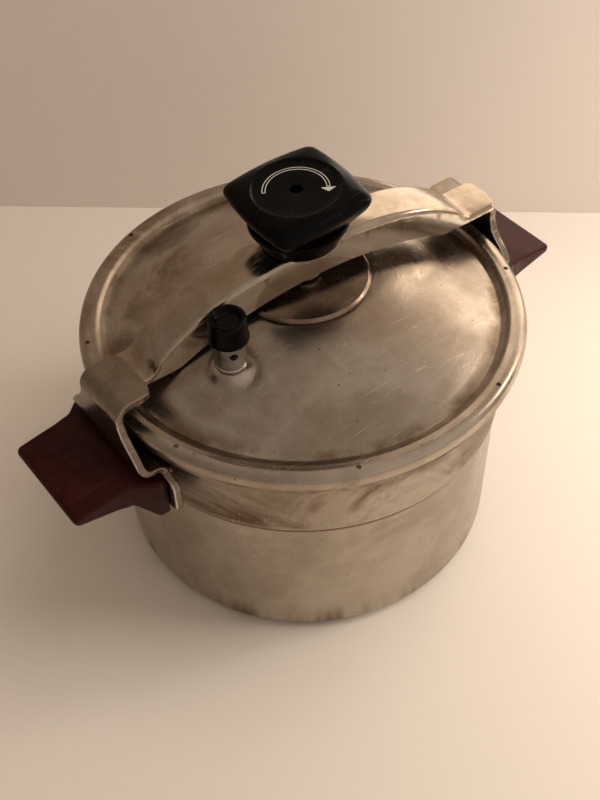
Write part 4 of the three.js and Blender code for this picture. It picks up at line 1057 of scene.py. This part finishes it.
# ---------- put the pieces on their bodies ----------
ready(pot(), POT_METAL, "pot", "aged_aluminium", "pot_body")
ready(lid(), LID_METAL, "lid", "aged_aluminium", "lid_shell")
ready(turned("lid_plate_piece", [
    (0, PAD_LOW + 1.6, 0), (4.3, PAD_LOW + 1.6, 0), (4.3, PAD_LOW, 0), (PAD_R, PAD_LOW, 0.2),
    (PAD_R, PAD_TOP - 1.5, 0.5), (PAD_R - 1.6, PAD_TOP, 0.8), (0, PAD_TOP, 0)], 160),
    SHADED_PLATE_METAL, "lid", "aged_aluminium", "lid_plate")

PINS = headed_pin_tree()
for side, turn in SIDES.items():
    ready(catch(side), CATCH_METAL, "pot", "aged_aluminium", f"catch_{side}")
    ready(handle(side), RED, "pot", "red_bakelite", f"handle_{side}")
    rivets = grown(f"catch_rivets_{side}", PINS, {
        "Count": 2, "Spacing": 2 * RIVET_Y * MM, "Length": (PLATE_OUT_X + 2.1 - RIVET_START_X) * MM,
        "Shank Radius": RIVET_R * MM, "Near Head Radius": RIVET_HEAD_R * MM, "Near Head Height": 1.8 * MM,
        "Far Head Radius": 4.9 * MM, "Far Head Height": 1.8 * MM},
        turn @ Matrix.Translation((RIVET_START_X * MM, -RIVET_Y * MM, RIVET_Z * MM)))
    ready(rivets, POT_METAL, "pot", "aged_aluminium", f"catch_rivet_{side}_1", f"catch_rivet_{side}_2")
    at_screw = turn @ Matrix.Translation((SCREW_X * MM, 0, 0))
    screw = grown(f"handle_screw_{side}_piece", PINS, {
        "Count": 1, "Length": (TONGUE_Z + TONGUE_T - 0.6 - SCREW_LOW_Z) * MM, "Shank Radius": SCREW_R * MM,
        "Near Head Radius": SCREW_HEAD_R * MM, "Near Head Height": SCREW_HEAD_T * MM,
        "Far Head Radius": 0.0, "Far Head Height": 1 * MM},
        at_screw @ Matrix.Translation((0, 0, SCREW_LOW_Z * MM)) @ Matrix.Rotation(-math.pi / 2, 4, "Y"))
    ready(screw, STEEL, "pot", "bare_steel", f"handle_screw_{side}")
    washer = turned(f"handle_washer_{side}_piece", [
        (SCREW_HOLE_R, WASHER_LOW_Z, 0.1), (WASHER_R, WASHER_LOW_Z, 0.2),
        (WASHER_R, WASHER_LOW_Z + WASHER_T, 0.2), (SCREW_HOLE_R, WASHER_LOW_Z + WASHER_T, 0.1)], 64, at_screw)
    ready(washer, STEEL, "pot", "bare_steel", f"handle_washer_{side}")

ready(yoke(), YOKE_METAL, "yoke", "aged_aluminium", "yoke")
ready(foot(), STEEL, "foot", "bare_steel", "screw_foot")
ready(spindle(), STEEL, "screw", "bare_steel", "screw_spindle")
ready(collar(), BLACK, "screw", "black_bakelite", "knob_collar")
ready(knob(), KNOB_BLACK, "screw", "black_bakelite", "knob")
ready(knob_screw(), STEEL, "screw", "bare_steel", "knob_screw")
ready(stem(), STEEL, "lid", "bare_steel", "valve_stem")
ready(sleeve(), STEEL, "valve_weight", "bare_steel", "valve_sleeve")
ready(valve_cap(), BLACK, "valve_weight", "black_bakelite", "valve_cap")

# CAD pieces that keep their shape and get a finish.
KEPT = {
    "lid_plate_stud": STEEL, "valve_nut": STEEL, "valve_pin": STEEL, "bush_rivet_1": STEEL,
    "bush_rivet_2": STEEL,
    "foot_clip": STEEL, "valve_slug": BRASS, "yoke_bush": BRASS, "knob_insert": BRASS,
    "gasket": RUBBER, "valve_seal": RUBBER,
}
for name, material in KEPT.items():
    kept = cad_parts[name]
    kept.data.materials.clear()
    kept.data.materials.append(material)


# ---------- studio ----------
def plain_floor(name, tone, other):
    material, net, shader, place = started(name)
    cloud = net.noise(place, 1.6, 3.0)
    colour = net.mix(cloud, tone, other)
    rough = net.plus(0.55, net.times(net.noise(place, 60.0, 3.0), 0.15), clamp=True)
    finish_with(net, shader, colour, rough, net.noise(place, 200.0, 2.0), 0.00003, 0.3)
    return material


def sheet_of(name, corners, material):
    mesh = bpy.data.meshes.new(name)
    mesh.from_pydata(corners, [], [(0, 1, 2, 3)])
    obj = bpy.data.objects.new(name, mesh)
    bpy.context.scene.collection.objects.link(obj)
    mesh.materials.append(material)
    return obj


WALL_DISTANCE = 0.281
WALL_TURN = math.radians(49.5)
normal = Vector((math.cos(WALL_TURN), math.sin(WALL_TURN), 0))
sideways = Vector((-normal.y, normal.x, 0))
near = -1.8
FLOOR = plain_floor("floor_surface", (0.80, 0.73, 0.65), (0.75, 0.67, 0.58))
BACKDROP = plain_floor("backdrop_surface", (0.74, 0.67, 0.61), (0.68, 0.61, 0.55))
right, high = sideways * 2, Vector((0, 0, 0.9))
foot_line = normal * WALL_DISTANCE
sheet_of("floor", [normal * near - right, foot_line - right, foot_line + right, normal * near + right], FLOOR)
sheet_of("backdrop", [foot_line + right, foot_line - right, foot_line - right + high,
                      foot_line + right + high], BACKDROP)


def lamp(name, place, target, size, power, colour, mirrored=True):
    """An area lamp; one that isn't mirrored lights matt surfaces but shows in no metal."""
    light = bpy.data.lights.new(name, "AREA")
    light.shape = "RECTANGLE"
    light.size, light.size_y = size
    light.energy = power
    light.color = colour
    obj = bpy.data.objects.new(name, light)
    obj.location = place
    obj.visible_glossy = mirrored
    obj.rotation_euler = (Vector(target) - Vector(place)).to_track_quat("-Z", "Y").to_euler()
    bpy.context.scene.collection.objects.link(obj)
    return obj


lamp("key", (0.50, -0.25, 1.3), (0.15, 0.0, 0.0), (0.8, 0.8), 5.2, (1.0, 0.90, 0.80), False)
lamp("wall wash", (0.60, -0.46, 0.34), (0.33, 0.09, 0.14), (0.5, 0.3), 4.2, (1.0, 0.93, 0.86), False)
lamp("glint", (0.80, -0.38, 0.62), (0, 0, 0.15), (0.16, 0.16), 1.6, (1.0, 0.92, 0.82))
BOX_PLACE = Vector((0.33, 0.04, 0.29))
box = lamp("soft box", BOX_PLACE, BOX_PLACE - normal, (0.34, 0.22), 0.42, (1.0, 0.87, 0.72))
box.visible_camera = False


def studio_light():
    """Brighter and paler from one side, darker and warmer from the other."""
    world = bpy.data.worlds.new("studio")
    bpy.context.scene.world = world
    world.use_nodes = True
    net = Net(world.node_tree)
    way = net.add("ShaderNodeTexCoord").outputs["Generated"]
    parts = net.add("ShaderNodeSeparateXYZ", {0: way})
    across = net.minus(net.times(parts.outputs[0], 0.85),
                      net.times(parts.outputs[1], 0.5))
    side = net.ramp(across, -0.9, 1.0)
    colour = net.mix(side, (0.38, 0.31, 0.255), (0.92, 0.81, 0.70))
    back = world.node_tree.nodes["Background"]
    world.node_tree.links.new(colour, back.inputs["Color"])
    back.inputs["Strength"].default_value = 0.8


studio_light()

lens = bpy.data.cameras.new("camera")
lens.lens = 51.25
lens.sensor_width = 36
lens.shift_x = 0.00175
camera = bpy.data.objects.new("camera", lens)
camera.matrix_world = (
    Matrix.Translation((-0.2805, -0.3735, 0.5916)) @ Matrix.Rotation(math.radians(-36.45), 4, "Z")
    @ Matrix.Rotation(math.radians(42.2), 4, "X") @ Matrix.Rotation(math.radians(-1.89), 4, "Z"))
bpy.context.scene.collection.objects.link(camera)
bpy.context.scene.camera = camera
bpy.context.scene.view_settings.view_transform = "Standard"

bpy.context.view_layer.update()
